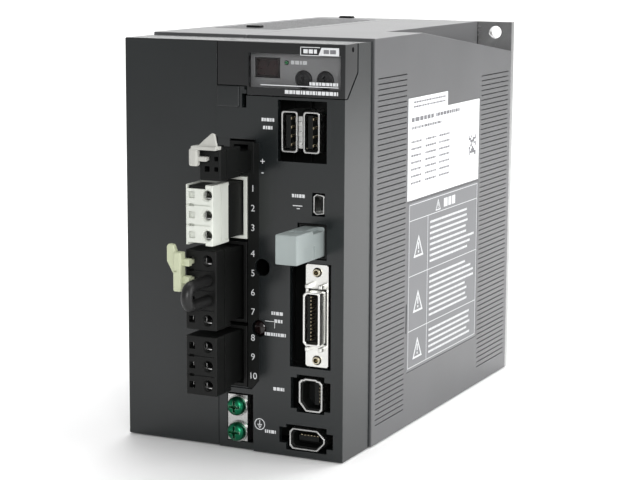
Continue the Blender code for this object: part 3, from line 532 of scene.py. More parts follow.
def sleeve(name, slot):
    """Shrink sleeve with a pale stripe down one side."""
    finish = Finish(name, slot)
    stripe = ramp(noise(finish.place, 14.0, 0.0, (6, 1, 1)), 0.58, 0.60)
    fine = noise(finish.place, 0.6)
    finish.set(Base_Color=mix(stripe, (0.020, 0.030, 0.085), (0.30, 0.31, 0.33)), Roughness=0.28 + fine * 0.1)
    finish.bump(fine, 0.02)
    return finish.material


SMOKE = clear_plastic("smoked_window", "smoke_plastic", (0.010, 0.010, 0.011), 0.10)
LAMP_RED = lens("lamp_lens_red", "lamp_red", (0.0060, 0.0030, 0.0030))
LAMP_GREEN = lens("lamp_lens_green", "lamp_green", (0.020, 0.160, 0.050))
DISPLAY = lens("display_face_red", "display_red", (0.016, 0.012, 0.012))
SEGMENT = lens("display_segment", "display_red", (0.050, 0.026, 0.025))
PRINT = ink("printed_pale_grey", "label_white", (0.66, 0.67, 0.68))
DARK_PRINT = ink("printed_dark_grey", "label_grey", (0.16, 0.16, 0.17))
LABEL_WHITE = paper("label_white_paper", "label_white", (0.78, 0.79, 0.80))
LABEL_GREY = paper("label_grey_paper", "label_grey", (0.135, 0.138, 0.145), 0.38)
BOARD = circuit_board("circuit_board_green", "board_green")
SLEEVE = sleeve("capacitor_sleeve_blue", "capacitor_sleeve")

# %% [markdown]
# ## Studio
# The drive stands on a pale floor under soft light. The camera is far off with a long lens,
# to the right of the front and a little above it. It comes first, so that each piece can be
# looked at as soon as it is made.

# %% Camera
CAMERA_PLACE = (312.1, -579.4, 187.4)
CAMERA_AZIMUTH = math.radians(25.53)
CAMERA_ELEVATION = math.radians(9.48)
CAMERA_ROLL = math.radians(0.30)
FOCAL_LENGTH = 103.9

lens_data = bpy.data.cameras.new("studio_camera")
lens_data.sensor_width = 36.0
lens_data.lens = FOCAL_LENGTH
lens_data.clip_start = 0.01
camera = bpy.data.objects.new("studio_camera", lens_data)
bpy.context.scene.collection.objects.link(camera)
ahead = math.cos(CAMERA_ELEVATION)
aim = Vector((
    -math.sin(CAMERA_AZIMUTH) * ahead, math.cos(CAMERA_AZIMUTH) * ahead, -math.sin(CAMERA_ELEVATION)))
camera.rotation_mode = "QUATERNION"
camera.rotation_quaternion = aim.to_track_quat("-Z", "Y") @ Quaternion((0, 0, 1), CAMERA_ROLL)
camera.location = at(*CAMERA_PLACE)
bpy.context.scene.camera = camera

# %% Floor, sky and soft lights
bpy.ops.object.select_all(action="DESELECT")
bpy.ops.mesh.primitive_plane_add(size=16.0, location=(0, 0, -0.0004))
floor = bpy.context.object
floor.name = "studio_floor"
floor_paint = bpy.data.materials.new("studio_floor_white")
floor_paint.use_nodes = True
floor_paint.node_tree.nodes["Principled BSDF"].inputs["Base Color"].default_value = (0.93, 0.93, 0.93, 1)
floor_paint.node_tree.nodes["Principled BSDF"].inputs["Roughness"].default_value = 0.7
floor.data.materials.append(floor_paint)
floor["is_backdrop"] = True

sky = bpy.data.worlds.new("studio_sky")
sky.use_nodes = True
sky.node_tree.nodes["Background"].inputs["Color"].default_value = (1, 1, 1, 1)
sky.node_tree.nodes["Background"].inputs["Strength"].default_value = 0.55
bpy.context.scene.world = sky
bpy.context.scene.view_settings.view_transform = "Standard"


def soft_light(name, place, target, size, power):
    """A softbox at a place, aimed at a target, in metres; its size is (wide, tall)."""
    data = bpy.data.lights.new(name, "AREA")
    data.shape = "RECTANGLE"
    data.size, data.size_y = size
    data.energy = power
    lamp = bpy.data.objects.new(name, data)
    bpy.context.scene.collection.objects.link(lamp)
    lamp.location = place
    lamp.rotation_mode = "QUATERNION"
    lamp.rotation_quaternion = (Vector(target) - Vector(place)).to_track_quat("-Z", "Y")
    return lamp


soft_light("top_softbox", (0.0, 0.35, 1.0), (0, 0.25, 0), (0.9, 0.7), 6.5)
soft_light("right_softbox", (1.2, 0.2, 0.55), (0, 0, 0.07), (0.9, 0.7), 8.0)
soft_light("key_softbox", (0.9, -1.5, 0.60), (0, 0, 0.07), (0.8, 0.6), 17.0)
soft_light("floor_wash", (0.5, 0.9, 0.7), (0.20, 0.30, 0), (0.5, 0.5), 4.0)
soft_light("backdrop_wash", (-1.0, 3.6, 2.2), (-1.3, 3.8, 0), (4.0, 3.0), 110.0)
soft_light("rim_panel", (-1.2, 2.3, 0.60), (0, 0, 0.12), (1.2, 0.4), 1.8)

# %% [markdown]
# ## Casing
# Two half shells meet along a seam on top and below. The side walls are full of fine
# louvres: level slots that slope down towards the outside, so that a dropped screw slides
# off and no one sees in. One sloping cutter is modelled, stamped up the wall, and cut out in
# one go, which leaves one clean mesh instead of hundreds of loose slats.

# %% The two half shells
CASE_HALF = 45.5
HEIGHT = 150.0
WALL = 2.0
SHELL_Y = (23.3, 166.7)
SEAM_LEFT, SEAM_RIGHT = -6.15, -5.85
NOTCH_FRONT = 68.0
NOTCH_REAR = DEPTH + 5
NOTCH_SLOPE = 0.124
NOTCH_X = 30.0
SLAT_PITCH = 2.0
SLAT_RISE = 0.95
SLAT_GAP = 0.42
RATING = [(54.7, 87.1), (129.8, 87.1), (129.8, 120.7), (94.8, 120.7), (94.8, 126.3), (54.7, 126.3)]
WARNING = [(55.7, 20.9), (129.8, 20.9), (129.8, 86.7), (55.7, 86.7)]


def screw_notch(side, lift, x_inner):
    """The wedge in front of a mounting hole: top right, or bottom left."""
    half = HEIGHT / 2
    deep = half - lift - NOTCH_SLOPE * (NOTCH_REAR - NOTCH_FRONT)
    wedge = [(NOTCH_FRONT, half - lift), (NOTCH_REAR, deep), (NOTCH_REAR, half + 5), (NOTCH_FRONT, half + 5)]
    span = sorted((side * x_inner, side * (CASE_HALF + 5)))
    return plate("x", [(y, half + side * z) for y, z in wedge], span)


def slats(side, y, z):
    """Cutters for a column of sloping slots."""
    outer, inner = side * (CASE_HALF + 0.6), side * (CASE_HALF - WALL - 0.6)
    slope = [(inner, SLAT_RISE), (outer, 0), (outer, SLAT_GAP), (inner, SLAT_RISE + SLAT_GAP)]
    cutter = plate("y", [(x, z[0] + height) for x, height in slope], y)
    count = int((z[1] - z[0]) / SLAT_PITCH)
    return stamped(cutter, [(0, 0, i * SLAT_PITCH) for i in range(count)])


def half_shell(side):
    """One half of the casing: an open box with its notch and its rounded edges."""
    x = (SEAM_RIGHT, CASE_HALF) if side > 0 else (-CASE_HALF, SEAM_LEFT)
    shell = block(x, SHELL_Y, (0, HEIGHT))
    cut(shell, screw_notch(side, 0.0, NOTCH_X))
    soften(shell, 0.35, 3)
    cavity_x = (x[0] - 5, x[1] - WALL) if side > 0 else (x[0] + WALL, x[1] + 5)
    cavity = block(cavity_x, (SHELL_Y[0] - 5, SHELL_Y[1] + 5), (WALL, HEIGHT - WALL))
    cut(cavity, screw_notch(side, WALL, NOTCH_X - WALL))
    return cut(shell, cavity)


right_shell = half_shell(1)
cut(right_shell, slats(1, (26.6, 53.2), (7, 138)), slats(1, (131.6, 163.5), (7, 131.5)))
for pocket in (RATING, WARNING):
    cut(right_shell, plate("x", pocket, (CASE_HALF - 0.28, CASE_HALF + 1)))
vent = soft_block((8, 38), (60, 63), (-1, WALL + 1), 0.9, 3)
cut(right_shell, stamped(vent, [(0, i * 6.0, 0) for i in range(12)]))
groove = block((CASE_HALF - 0.5, CASE_HALF + 1), (54.6, 55.4), (36.5, 48))
cut(right_shell, groove)
fit(right_shell, "casing_right_shell", CASING, replaces=["right_housing"])

left_shell = half_shell(-1)
cut(left_shell, slats(-1, (26.6, 60), (25, 137)))
outlet = soft_block((-40, -11), (60, 62.6), (HEIGHT - WALL - 1, HEIGHT + 1), 0.9, 3)
cut(left_shell, stamped(outlet, [(0, i * 6.0, 0) for i in range(16)]))
cut(left_shell, rod("z", (-23.2, 46.0), 17.5, (-1, WALL + 1), 64))
fit(left_shell, "casing_left_shell", CASING, replaces=["left_housing"])

# %% [markdown]
# The rear plate and the heat sink carry the drive. The plate is punched steel with its edges
# deburred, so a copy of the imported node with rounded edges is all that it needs.

# %% Mounting plate, heat sink and their screws
def reworked(node, name, finish, width, body="drive", segments=2, angle=30):
    """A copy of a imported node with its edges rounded, in its place."""
    return fit(soften(copied(node), width, segments, angle), name, finish, body, [node])


reworked("rear_plate", "mounting_plate", PLATE_STEEL, 0.3)
reworked("heatsink", "heatsink_extrusion", ALUMINIUM, 0.25)
for node in ("plate_screw_lower", "plate_screw_upper"):
    low, high = span_of(node)
    centre = seen_centre(low, high)
    shank = [(low.y, 1.2), (low.y + 0.3, 1.4), (high.y - 1.7, 1.4)]
    screw = turned("y", centre, shank + [(high.y - 1.7, 2.9), (high.y - 0.35, 2.9), (high.y, 2.6)])
    cut(screw, rod("y", centre, 1.5, (high.y - 1.1, high.y + 1), 6))
    fit(screw, node + "_socket_head", STEEL, replaces=[node])

# %% [markdown]
# ## Front mouldings
# The front is two mouldings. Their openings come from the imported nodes, which are already
# cut to fit each connector, so merged copies get the small details on top: the finger grip
# that lifts the display cover, and rounded edges everywhere.

# %% Front cover and left panel
cover_side = copied("front_cover")
soften(cover_side, 0.18, 2, 40)
grip = soft_block((-5.6, 3.4), (-0.55, 1.5), (125.6, 133.2), 0.5, 3)
weld(cover_side, grip)
fit(cover_side, "front_cover_moulding", FRONT, replaces=["front_cover"])
reworked("front_left_panel", "front_left_moulding", FRONT, 0.5, segments=3)

# %% [markdown]
# A black ribbed shield stands behind the openings of the front cover, so that nothing inside
# shows round the sockets. Three strips beside it close the gaps that it leaves.

# %% Ribbed shield behind the cover
shield = block((12.5, 38.0), (14.4, 14.9), (3.0, 131.0))
for x in (18.4, 25.2, 32.0):
    weld(shield, block((x - 0.4, x + 0.4), (13.2, 14.6), (4.0, 130.0)))
for z in (32.0, 72.3, 87.2, 104.0):
    weld(shield, block((12.6, 37.9), (12.6, 14.6), (z - 0.4, z + 0.4)))
wings = [block((38.1, 42.3), (9.6, 10.1), (3.0, 131.0)), block((39.4, 42.2), (9.6, 10.1), (131.2, 142.5)),
         block((9.3, 12.9), (13.7, 14.2), (3.0, 131.0))]
shield = joined(shield, *wings)
fit(shield, "inner_light_shield", CONNECTOR_BLACK)

# %% Finger clips on top
CLIP_Z = (HEIGHT - 1.0, HEIGHT + 0.9)
clips = []
for x, y in ((-27.5, 71), (-30, 163)):
    clips.append(soft_block((x - 3.2, x + 3.2), (y - 1.6, y + 1.6), CLIP_Z, 0.5))
fit(joined(*clips), "top_clips", CONNECTOR_BLACK)

# %% [markdown]
# ## Display cover
# The cover is a gloss-black frame with a smoked window, and it swings up on two pins. The
# window is a separate pane, so that it can be see-through while its frame isn't.

# %% Cover frame, pane and pins
WINDOW_X, WINDOW_Z = (7.0, 43.0), (133.0, 145.1)
PANE_GAP = 0.02
cover_frame = soften(copied("display_cover"), 0.25, 3, 40)
cut(cover_frame, block(WINDOW_X, (-1, 3), WINDOW_Z))
fit(cover_frame, "display_cover_frame", COVER, "display_cover", ["display_cover"])
pane_x, pane_z = [(span[0] + PANE_GAP, span[1] - PANE_GAP) for span in (WINDOW_X, WINDOW_Z)]
fit(soft_block(pane_x, (0.15, 1.6), pane_z, 0.12), "display_cover_pane", SMOKE, "display_cover")
for side in ("left", "right"):
    low, high = span_of("hinge_pin_" + side)
    centre = ((low.y + high.y) / 2, (low.z + high.z) / 2)
    hidden = 1.2 if side == "right" else 0.0
    pin = soften(rod("x", centre, (high.y - low.y) / 2, (low.x, high.x - hidden), 24), 0.15)
    fit(pin, "hinge_pin_" + side + "_steel", STEEL, replaces=["hinge_pin_" + side])

# %% [markdown]
# Behind the pane are the grey operator panel, a two-digit display, a lamp and two rotary
# switches for the station number. The digits are unlit: seven thin bars each, leaning a
# little, with a point.

# %% Operator panel and digits
reworked("operator_panel", "operator_panel_moulding", PANEL, 0.12)
reworked("segment_display", "segment_display_body", DISPLAY, 0.1)
display_low, display_high = span_of("segment_display")
DIGIT_MIDDLE = (display_low.z + display_high.z) / 2
DIGIT_Y = (display_low.y + 0.12, display_low.y + 0.28)
BAR_REACH, BAR_HALF = 0.95, 0.20
LEAN = 0.10


def segment(cx, cz, upright):
    """One bar of a digit, pointed at both ends."""
    end, half = BAR_REACH - BAR_HALF, BAR_HALF
    shape = [(-BAR_REACH, 0), (-end, half), (end, half), (BAR_REACH, 0), (end, -half), (-end, -half)]
    if upright:
        shape = [(v, u) for u, v in shape]
    return plate("y", [(cx + u + LEAN * (cz + v - DIGIT_MIDDLE), cz + v) for u, v in shape], DIGIT_Y)


bars = []
for cx in (display_low.x + 2.5, display_high.x - 2.6):
    for dz in (-2.1, 0.0, 2.1):
        bars.append(segment(cx, DIGIT_MIDDLE + dz, False))
    for dx, dz in ((-1.05, -1.05), (-1.05, 1.05), (1.05, -1.05), (1.05, 1.05)):
        bars.append(segment(cx + dx, DIGIT_MIDDLE + dz, True))
    bars.append(rod("y", (cx + 1.5, DIGIT_MIDDLE - 2.1), 0.22, DIGIT_Y, 12))
fit(joined(*bars), "display_digits", SEGMENT)
reworked("status_led", "status_lamp", LAMP_GREEN, 0.08)
reworked("monitor_header", "monitor_header_block", CONNECTOR_BLACK, 0.12)
pin = soft_block((10.3, 10.8), (5.8, 9.0), (134.0, 134.5), 0.1, 1)
fit(stamped(pin, [(i * 1.9, 0, 0) for i in range(6)]), "monitor_header_pins", GOLD)

# %% Rotary switches
for name in ("tens", "ones"):
    low, high = span_of("rotary_dial_" + name)
    x, z = seen_centre(low, high)
    reworked(f"rotary_switch_{name}_body", f"rotary_switch_{name}_case", CONNECTOR_BLACK, 0.15)
    dial = turned("y", (x, z), [(low.y, 2.5), (low.y + 0.15, 2.8), (low.y + 0.3, 3.05), (high.y, 3.1)], 48)
    notch = block((x - 0.12, x + 0.12), (low.y - 1, low.y + 0.35), (z + 2.6, z + 4))
    there, back = Matrix.Translation(at(x, 0, z)), Matrix.Translation(-at(x, 0, z))
    turns = [there @ Matrix.Rotation(math.tau * i / 10, 4, "Y") @ back for i in range(10)]
    cut(dial, stamped(notch, turns))
    arrow = [(-0.4, -1.7), (0.4, -1.7), (0.4, 0.5), (1.05, 0.5), (0, 1.8), (-1.05, 0.5), (-0.4, 0.5)]
    cut(dial, plate("y", [(x + u, z + v) for u, v in arrow], (low.y - 1, low.y + 0.8)))
    fit(dial, f"rotary_dial_{name}_knob", DIAL, "rotary_dial_" + name, ["rotary_dial_" + name])

# %% [markdown]
# ## Power plugs
# Each way of a spring plug has a square hole for the lever or a screwdriver on the left and
# a round funnel for the wire on the right, with a steel cage behind them. One function makes
# a whole plug, so that the white mains plug and the two black ones share their anatomy: a
# body outside the header and a narrow black nose inside it. On the white mains plug the black
# nose is painted shade for the dark gap in front of its header, and a black block set into its
# top recess is painted shade of the dark pocket there.

# %% A spring plug
WAY_PITCH = 7.1
BLACK_PLUG = dict(
    finish=PLUG_BLACK_AND_SHADE, wire_x=1.2, wire_radius=1.7, tool_x=-5.1, body_end=-9.3, tool_depth=7.0, nose_end=3.0)
PLUGS = {
    "mains_plug": dict(
        ways=3, finish=NYLON, wire_x=2.4, wire_radius=1.75, tool_x=-3.6, body_end=-10.6, tool_depth=1.3,
        nose_end=4.3),
    "regen_plug": dict(BLACK_PLUG, ways=4),
    "motor_plug": dict(BLACK_PLUG, ways=3),
}


def spring_plug(node, ways, finish, wire_x, wire_radius, tool_x, body_end, tool_depth, nose_end):
    """A plug: body with steps and grooves, wire funnels, tool holes, and a narrow nose."""
    low, high = span_of(node)
    face, x = low.y, (low.x, high.x)
    middle = (low.z + high.z) / 2
    heights = [middle + WAY_PITCH * ((ways - 1) / 2 - i) for i in range(ways)]
    body = soft_block(x, (face, body_end), (low.z, high.z), 0.35, 3)
    # On the white mains plug this black nose is painted shade for the dark gap in front of its header; on the
    # black plugs it is their own colour.
    nose = soft_block((x[0] + 0.6, nose_end), (body_end - 0.8, high.y), (low.z + 1.1, high.z - 1.1), 0.2)
    fit(nose, node + "_nose", PLUG_BLACK_AND_SHADE, node)
    cut(body, block((x[1] - 0.5, x[1] + 1), (face + 5.8, face + 6.3), (low.z - 1, high.z + 1)))
    cut(body, block((x[1] - 0.35, x[1] + 1), (face + 8.2, body_end + 1), (low.z + 1.2, high.z - 1.2)))
    funnels = []
    for z in heights:
        funnels.append(rod("y", (wire_x, z), wire_radius, (face - 1, face + 8), 28))
        funnels.append(rod("y", (wire_x, z), wire_radius + 0.75, (face - 0.3, face + 0.6), 28, wire_radius))
    cut(body, *funnels)
    for z in heights:
        tool_hole_x = (tool_x - 1.2, tool_x + 1.2)
        cut(body, soft_block(tool_hole_x, (face - 1, face + tool_depth), (z - 1.2, z + 1.2), 0.15))
    for upper, lower in zip(heights, heights[1:]):
        edge = (upper + lower) / 2
        cut(body, block((x[0] - 1, x[1] - 1.0), (face - 1, face + 0.45), (edge - 0.22, edge + 0.22)))
        cut(body, block((tool_x - 1.3, tool_x + 0.9), (face - 1, face + 1.6), (edge - 0.5, edge + 0.5)))
    # The mains plug gets a black block in its top recess: painted shade of the dark pocket on its top.
    if node == "mains_plug":
        add_recesses_and_shade_block(body, node, (x[0] + 0.7, 1.9), (face, body_end), (low.z, high.z))
    fit(body, node + "_body", finish, node, [node])
    return face, heights


def add_recesses_and_shade_block(body, node, x, y, z):
    """Recesses along a plug's top and bottom, with a black block in the upper one as painted shade of the
    dark pocket on the plug's top.
    """
    recess_y = (y[0] - 1, y[1] - 1.2)
    cut(body, block(x, recess_y, (z[1] - 1.5, z[1] + 1)))
    cut(body, block(x, recess_y, (z[0] - 1, z[0] + 1.0)))
    # This black block, called the latch, is painted shade of the dark pocket on the plug's top.
    latch = soft_block((x[0] + 0.1, x[1] - 0.1), (y[0] + 0.9, y[1]), (z[1] - 1.6, z[1] - 0.5), 0.15)
    fit(latch, node + "_latch", PLUG_BLACK_AND_SHADE, node)


def plug_cages(node, face, heights, wire_x, tool_x):
    """The bright spring cages that show inside the holes."""
    parts = []
    for z in heights:
        parts.append(block((wire_x - 1.35, wire_x - 1.05), (face + 1.6, face + 6.5), (z - 1.0, z + 0.9)))
        parts.append(block((wire_x - 1.35, wire_x + 0.9), (face + 1.6, face + 6.5), (z - 1.3, z - 1.0)))
        if node != "mains_plug":
            spring_x = (tool_x - 0.7, tool_x - 0.45)
            parts.append(soft_block(spring_x, (face + 2.0, face + 6.0), (z - 0.9, z + 0.9), 0.05))
    fit(joined(*parts), node + "_cages", STEEL, node)


for node, sizes in PLUGS.items():
    face, heights = spring_plug(node, **sizes)
    open_ways = [heights[0], heights[-1]] if node == "regen_plug" else heights
    plug_cages(node, face, open_ways, sizes["wire_x"], sizes["tool_x"])

for name, finish in (("mains", NYLON), ("regen", PLUG_BLACK_AND_SHADE), ("motor", PLUG_BLACK_AND_SHADE)):
    reworked(name + "_header", name + "_header_moulding", finish, 0.2)

# %% [markdown]
# The control power plug is a smaller relative, with two pairs of square holes: the lever goes
# into the wide left one of a pair, and the wire into the narrow right one.

# %% Control power plug
reworked("control_power_header", "control_power_header_moulding", CONNECTOR_BLACK, 0.15)
low, high = span_of("control_power_plug")
face = low.y
control = soft_block((low.x, high.x), (face, -9.0), (low.z, high.z), 0.3, 3)
weld(control, soft_block((low.x + 0.7, high.x - 0.9), (-10.0, high.y), (low.z + 1.1, high.z - 2.4), 0.2))
for z in (106.2, 109.8):
    for x, half in (((2.4, 4.4), 1.0), ((6.2, 7.8), 0.8)):
        cut(control, soft_block(x, (face - 1, face + 7), (z - half, z + half), 0.15))
cut(control, block((high.x - 0.4, high.x + 1), (face + 4.5, face + 5.0), (low.z - 1, high.z + 1)))
cut(control, block((high.x - 0.4, high.x + 1), (face + 12, face + 19), (low.z + 2.2, high.z - 2.2)))
cut(control, block((low.x + 1.5, high.x - 1.5), (face + 9, face + 15), (high.z - 0.4, high.z + 1)))
fit(control, "control_power_plug_body", CONNECTOR_BLACK, "control_power_plug", ["control_power_plug"])

# %% [markdown]
# ## Levers and jumper wire
# Two nylon levers are left in the plugs. They are soft shapes with generous radii, so the
# blocks are rounded first and welded afterwards. The jumper wire is a curve with a round
# section, turned into a mesh with a cut end of insulation inside each funnel.

# %% Regeneration lever
REGEN_LEVER_Z = 69.45
body = soft_block((-9.9, -6.7), (-25.4, -21.4), (REGEN_LEVER_Z - 7.4, REGEN_LEVER_Z + 6.7), 0.7, 4)
wing = [(-12.9, 3.2), (-12.9, 8.6), (-12.2, 9.4), (-10.2, 9.2), (-9.2, 6.4), (-9.2, -1.8), (-10.4, -1.2)]
weld(body, soften(plate("y", [(x, REGEN_LEVER_Z + z) for x, z in wing], (-24.4, -22.2)), 0.45, 3))
for z in (REGEN_LEVER_Z + 3.0, REGEN_LEVER_Z - 3.2):
    weld(body, soft_block((-7.4, -4.3), (-23.6, -21.4), (z - 1.3, z + 1.3), 0.15, 3))
    weld(body, soft_block((-5.7, -4.3), (-22.4, -15.5), (z - 0.7, z + 0.7), 0.15, 2))
cut(body, soft_block((-11, -8.2), (-27, -24.6), (REGEN_LEVER_Z - 0.35, REGEN_LEVER_Z + 0.35), 0.2))
fit(body, "regen_lever_moulding", IVORY, "regen_lever", ["regen_lever"])

# %% Control power lever
CONTROL_LEVER_Z = 109.8
grip = soft_block((-2.3, 1.2), (-27.2, -24.6), (CONTROL_LEVER_Z - 2.6, CONTROL_LEVER_Z + 3.6), 0.8, 4)
weld(grip, soft_block((0.6, 4.1), (-26.2, -24.6), (CONTROL_LEVER_Z - 0.85, CONTROL_LEVER_Z + 0.85), 0.25, 3))
weld(grip, soft_block((2.7, 4.1), (-25.4, -19.5), (CONTROL_LEVER_Z - 0.6, CONTROL_LEVER_Z + 0.6), 0.15))
weld(grip, soft_block((-1.4, 8.6), (-27.2, -23.0), (CONTROL_LEVER_Z + 3.2, CONTROL_LEVER_Z + 4.5), 0.4, 3))
gusset = [(0.6, 4.2), (8.4, 4.2), (7.4, 8.9), (6.3, 9.1), (3.6, 6.9)]
weld(grip, soften(plate("y", [(x, CONTROL_LEVER_Z + z) for x, z in gusset], (-26.2, -25.0)), 0.3, 3))
fit(grip, "control_power_lever_moulding", PALE, "control_power_lever", ["control_power_lever"])

# %% Jumper wire
WIRE_RADIUS = 2.1
WIRE_REACH = 11.0
WIRE_ROWS = (65.9, 58.8)


def loop_points(x, face, reach, upper, lower, steps=24):
    """A hairpin that leaves one funnel, turns outside, and goes into the next."""
    bend, middle = (upper - lower) / 2, (upper + lower) / 2
    turn = face - reach
    arcs = [math.pi * i / steps for i in range(steps + 1)]
    points = [(x, face + 7.0, upper), (x, face + 2.0, upper), (x, face - 4.0, upper + 0.1)]
    points += [(x, turn - bend * math.sin(a), middle + bend * math.cos(a)) for a in arcs]
    return points + [(x, face - 4.0, lower - 0.1), (x, face + 2.0, lower), (x, face + 7.0, lower)]


wire_low, wire_high = span_of("jumper_wire")
curve = bpy.data.curves.new("jumper_wire_curve", "CURVE")
curve.dimensions = "3D"
curve.bevel_depth = WIRE_RADIUS * MM
curve.bevel_resolution = 8
curve.use_fill_caps = True
line = curve.splines.new("POLY")
wire_middle = (wire_low.x + wire_high.x) / 2
route = loop_points(wire_middle, span_of("regen_plug")[0].y, WIRE_REACH, *WIRE_ROWS)
line.points.add(len(route) - 1)
for point, place in zip(line.points, route):
    point.co = (*at(*place), 1.0)
wire = bpy.data.objects.new("wire", curve)
bpy.context.scene.collection.objects.link(wire)
pick(wire)
bpy.ops.object.convert(target="MESH")
fit(wire, "jumper_wire_insulation", WIRE, "regen_plug", ["jumper_wire"], 60)

# %% [markdown]
# ## Signal connectors
# The sockets are folded steel shells with bright rims, black inserts and gold contacts. A
# rim is a thick outline with its edges rounded, so it catches the light as a folded edge
# does.

# %% Keyed shells
def inset(outline, wall):
    """An outline drawn in towards its middle, by a wall's thickness at each side."""
    xs, zs = [p[0] for p in outline], [p[1] for p in outline]
    cx, cz = (min(xs) + max(xs)) / 2, (min(zs) + max(zs)) / 2
    sx, sz = 1 - 2 * wall / (max(xs) - min(xs)), 1 - 2 * wall / (max(zs) - min(zs))
    return [(cx + (x - cx) * sx, cz + (z - cz) * sz) for x, z in outline]


def shell_of(outline, wall, y, back, rounding=0.2):
    """A keyed metal shell: the outline extruded, hollowed from the front, with a rounded rim."""
    shell = plate("y", outline, y)
    cut(shell, plate("y", inset(outline, wall), (y[0] - 1, back)))
    return soften(shell, rounding, 3, 40)


def rounded(x, z, radius, steps=5):
    """A rectangle's outline with round corners."""
    left, right, bottom, top = x[0] + radius, x[1] - radius, z[0] + radius, z[1] - radius
    points = []
    for cx, cz, start in ((right, top, 0), (left, top, 90), (left, bottom, 180), (right, bottom, 270)):
        for i in range(steps + 1):
            a = math.radians(start + 90 * i / steps)
            points.append((cx + radius * math.cos(a), cz + radius * math.sin(a)))
    return points


# %% Network sockets
for side, x in (("left", (20.3, 26.6)), ("right", (28.9, 35.2))):
    low, high = span_of("network_socket_" + side)
    shell = shell_of(rounded(x, (low.z, high.z), 1.0), 0.55, (low.y, high.y), high.y - 1, 0.15)
    for z in (low.z + 3.2, high.z - 3.2):
        tab = soft_block((x[1] - 0.9, x[1] - 0.6), (low.y + 0.5, low.y + 5), (z - 0.9, z + 0.9), 0.1)
        shell = joined(shell, tab)
    fit(shell, f"network_socket_{side}_shell", STEEL, replaces=["network_socket_" + side])
    tongue_x = (x[0] + 1.2, x[0] + 3.1)
    tongue = soft_block(tongue_x, (low.y + 1.4, high.y - 1.0), (low.z + 1.4, high.z - 1.4), 0.2)
    fit(tongue, f"network_tongue_{side}_moulding", CONNECTOR_BLACK, replaces=["network_tongue_" + side])
    contact_x = (x[0] + 3.0, x[0] + 3.3)
    contact = soft_block(contact_x, (low.y + 1.6, low.y + 9), (low.z + 2.1, low.z + 3.1), 0.1, 1)
    fit(stamped(contact, [(0, 0, i * 3.1) for i in range(4)]), f"network_contacts_{side}", GOLD)

spring = [(26.9, 123.6), (28.6, 123.6), (28.6, 112.2), (26.9, 112.2)]
fingers = [soften(plate("y", spring, (-0.3, 8.0)), 0.2)]
for z in (113.6, 117.2, 120.8):
    fingers.append(soft_block((27.1, 28.4), (-0.9, 0.4), (z - 0.8, z + 1.0), 0.25, 3))
fit(joined(*fingers), "network_socket_spring", STEEL)

# %% Mini socket and safety socket
low, high = span_of("usb_mini_socket")
outline = [(low.x, low.z + 0.9), (low.x + 1.2, low.z), (high.x, low.z + 0.5), (high.x, high.z - 0.5),
           (low.x + 1.2, high.z), (low.x, high.z - 0.9)]
mini_shell = shell_of(outline, 0.4, (low.y, high.y), high.y - 1, 0.12)
fit(mini_shell, "mini_socket_shell", STEEL, replaces=["usb_mini_socket"])
tongue = soft_block((low.x + 2.4, low.x + 3.3), (low.y + 0.8, high.y - 1), (low.z + 1.6, high.z - 1.6), 0.12)
fit(tongue, "mini_socket_tongue", CONNECTOR_BLACK)
reworked("safety_socket", "safety_socket_moulding", CONNECTOR_BLACK, 0.2)

# %% Safety bypass plug
low, high = span_of("safety_bypass_plug")
plug = soft_block((low.x, high.x), (low.y, high.y), (low.z, high.z), 0.55, 4)
cut(plug, soft_block((low.x + 1.6, high.x - 1.6), (-13.5, -9.5), (high.z - 1.0, high.z + 1), 0.25))
cut(plug, soft_block((high.x - 2.6, high.x + 1), (-8.0, 1.0), (high.z - 1.3, high.z + 1), 0.3))
for side_x in ((high.x - 0.5, high.x + 1), (low.x - 1, low.x + 0.5)):
    cut(plug, soft_block(side_x, (-15.0, -6.5), (low.z - 1, high.z - 5.5), 0.2))
fit(plug, "safety_bypass_plug_moulding", BYPASS, "safety_bypass_plug", ["safety_bypass_plug"])

# %% Input/output connector
CONTACT_PITCH = 1.27
low, high = span_of("io_shell")
reworked("io_bracket", "io_bracket_casting", ZINC, 0.2, segments=3)
keyed, plain = 1.1, 0.5
outline = [(low.x + keyed, low.z), (high.x - plain, low.z), (high.x, low.z + plain), (high.x, high.z - plain),
           (high.x - plain, high.z), (low.x + keyed, high.z), (low.x, high.z - keyed), (low.x, low.z + keyed)]
io_shell = shell_of(outline, 0.75, (low.y, high.y), high.y + 1, 0.25)
fit(io_shell, "io_connector_shell", ZINC, replaces=["io_shell"])
inner = block((low.x + 1.0, high.x - 1.0), (1.0, high.y - 0.3), (low.z + 1.0, high.z - 1.0))
weld(inner, soft_block((low.x + 1.1, low.x + 2.3), (-2.8, 2.0), (low.z + 1.6, high.z - 1.6), 0.15))
fit(inner, "io_contact_moulding", CONNECTOR_BLACK, replaces=["io_contact_block"])
contact = soft_block((low.x + 2.2, low.x + 2.55), (-2.5, 1.2), (-0.32, 0.32), 0.08, 1)
rows = [(0, 0, 44.55 + i * CONTACT_PITCH) for i in range(13)]
fit(stamped(contact, rows), "io_contacts", GOLD)
hooks = []
for z in (low.z - 1.6, high.z + 1.6):
    for x in (low.x - 0.2, high.x - 1.6):
        hooks.append(soft_block((x, x + 1.5), (-2.2, 1.5), (z - 0.8, z + 0.8), 0.35, 3))
fit(joined(*hooks), "io_latch_hooks", ZINC)
for name in ("upper", "lower"):
    low, high = span_of("io_insert_" + name)
    centre = seen_centre(low, high)
    insert = turned("y", centre, [(low.y - 0.6, 1.2), (low.y - 0.4, 1.4), (high.y, 1.4)], 32)
    countersink = rod("y", centre, 1.05, (low.y - 2, low.y + 0.3), 24, 0.8)
    cut(insert, countersink, rod("y", centre, 0.8, (low.y - 1, high.y - 1)))
    fit(insert, f"io_insert_{name}_turned", BRASS, replaces=["io_insert_" + name])

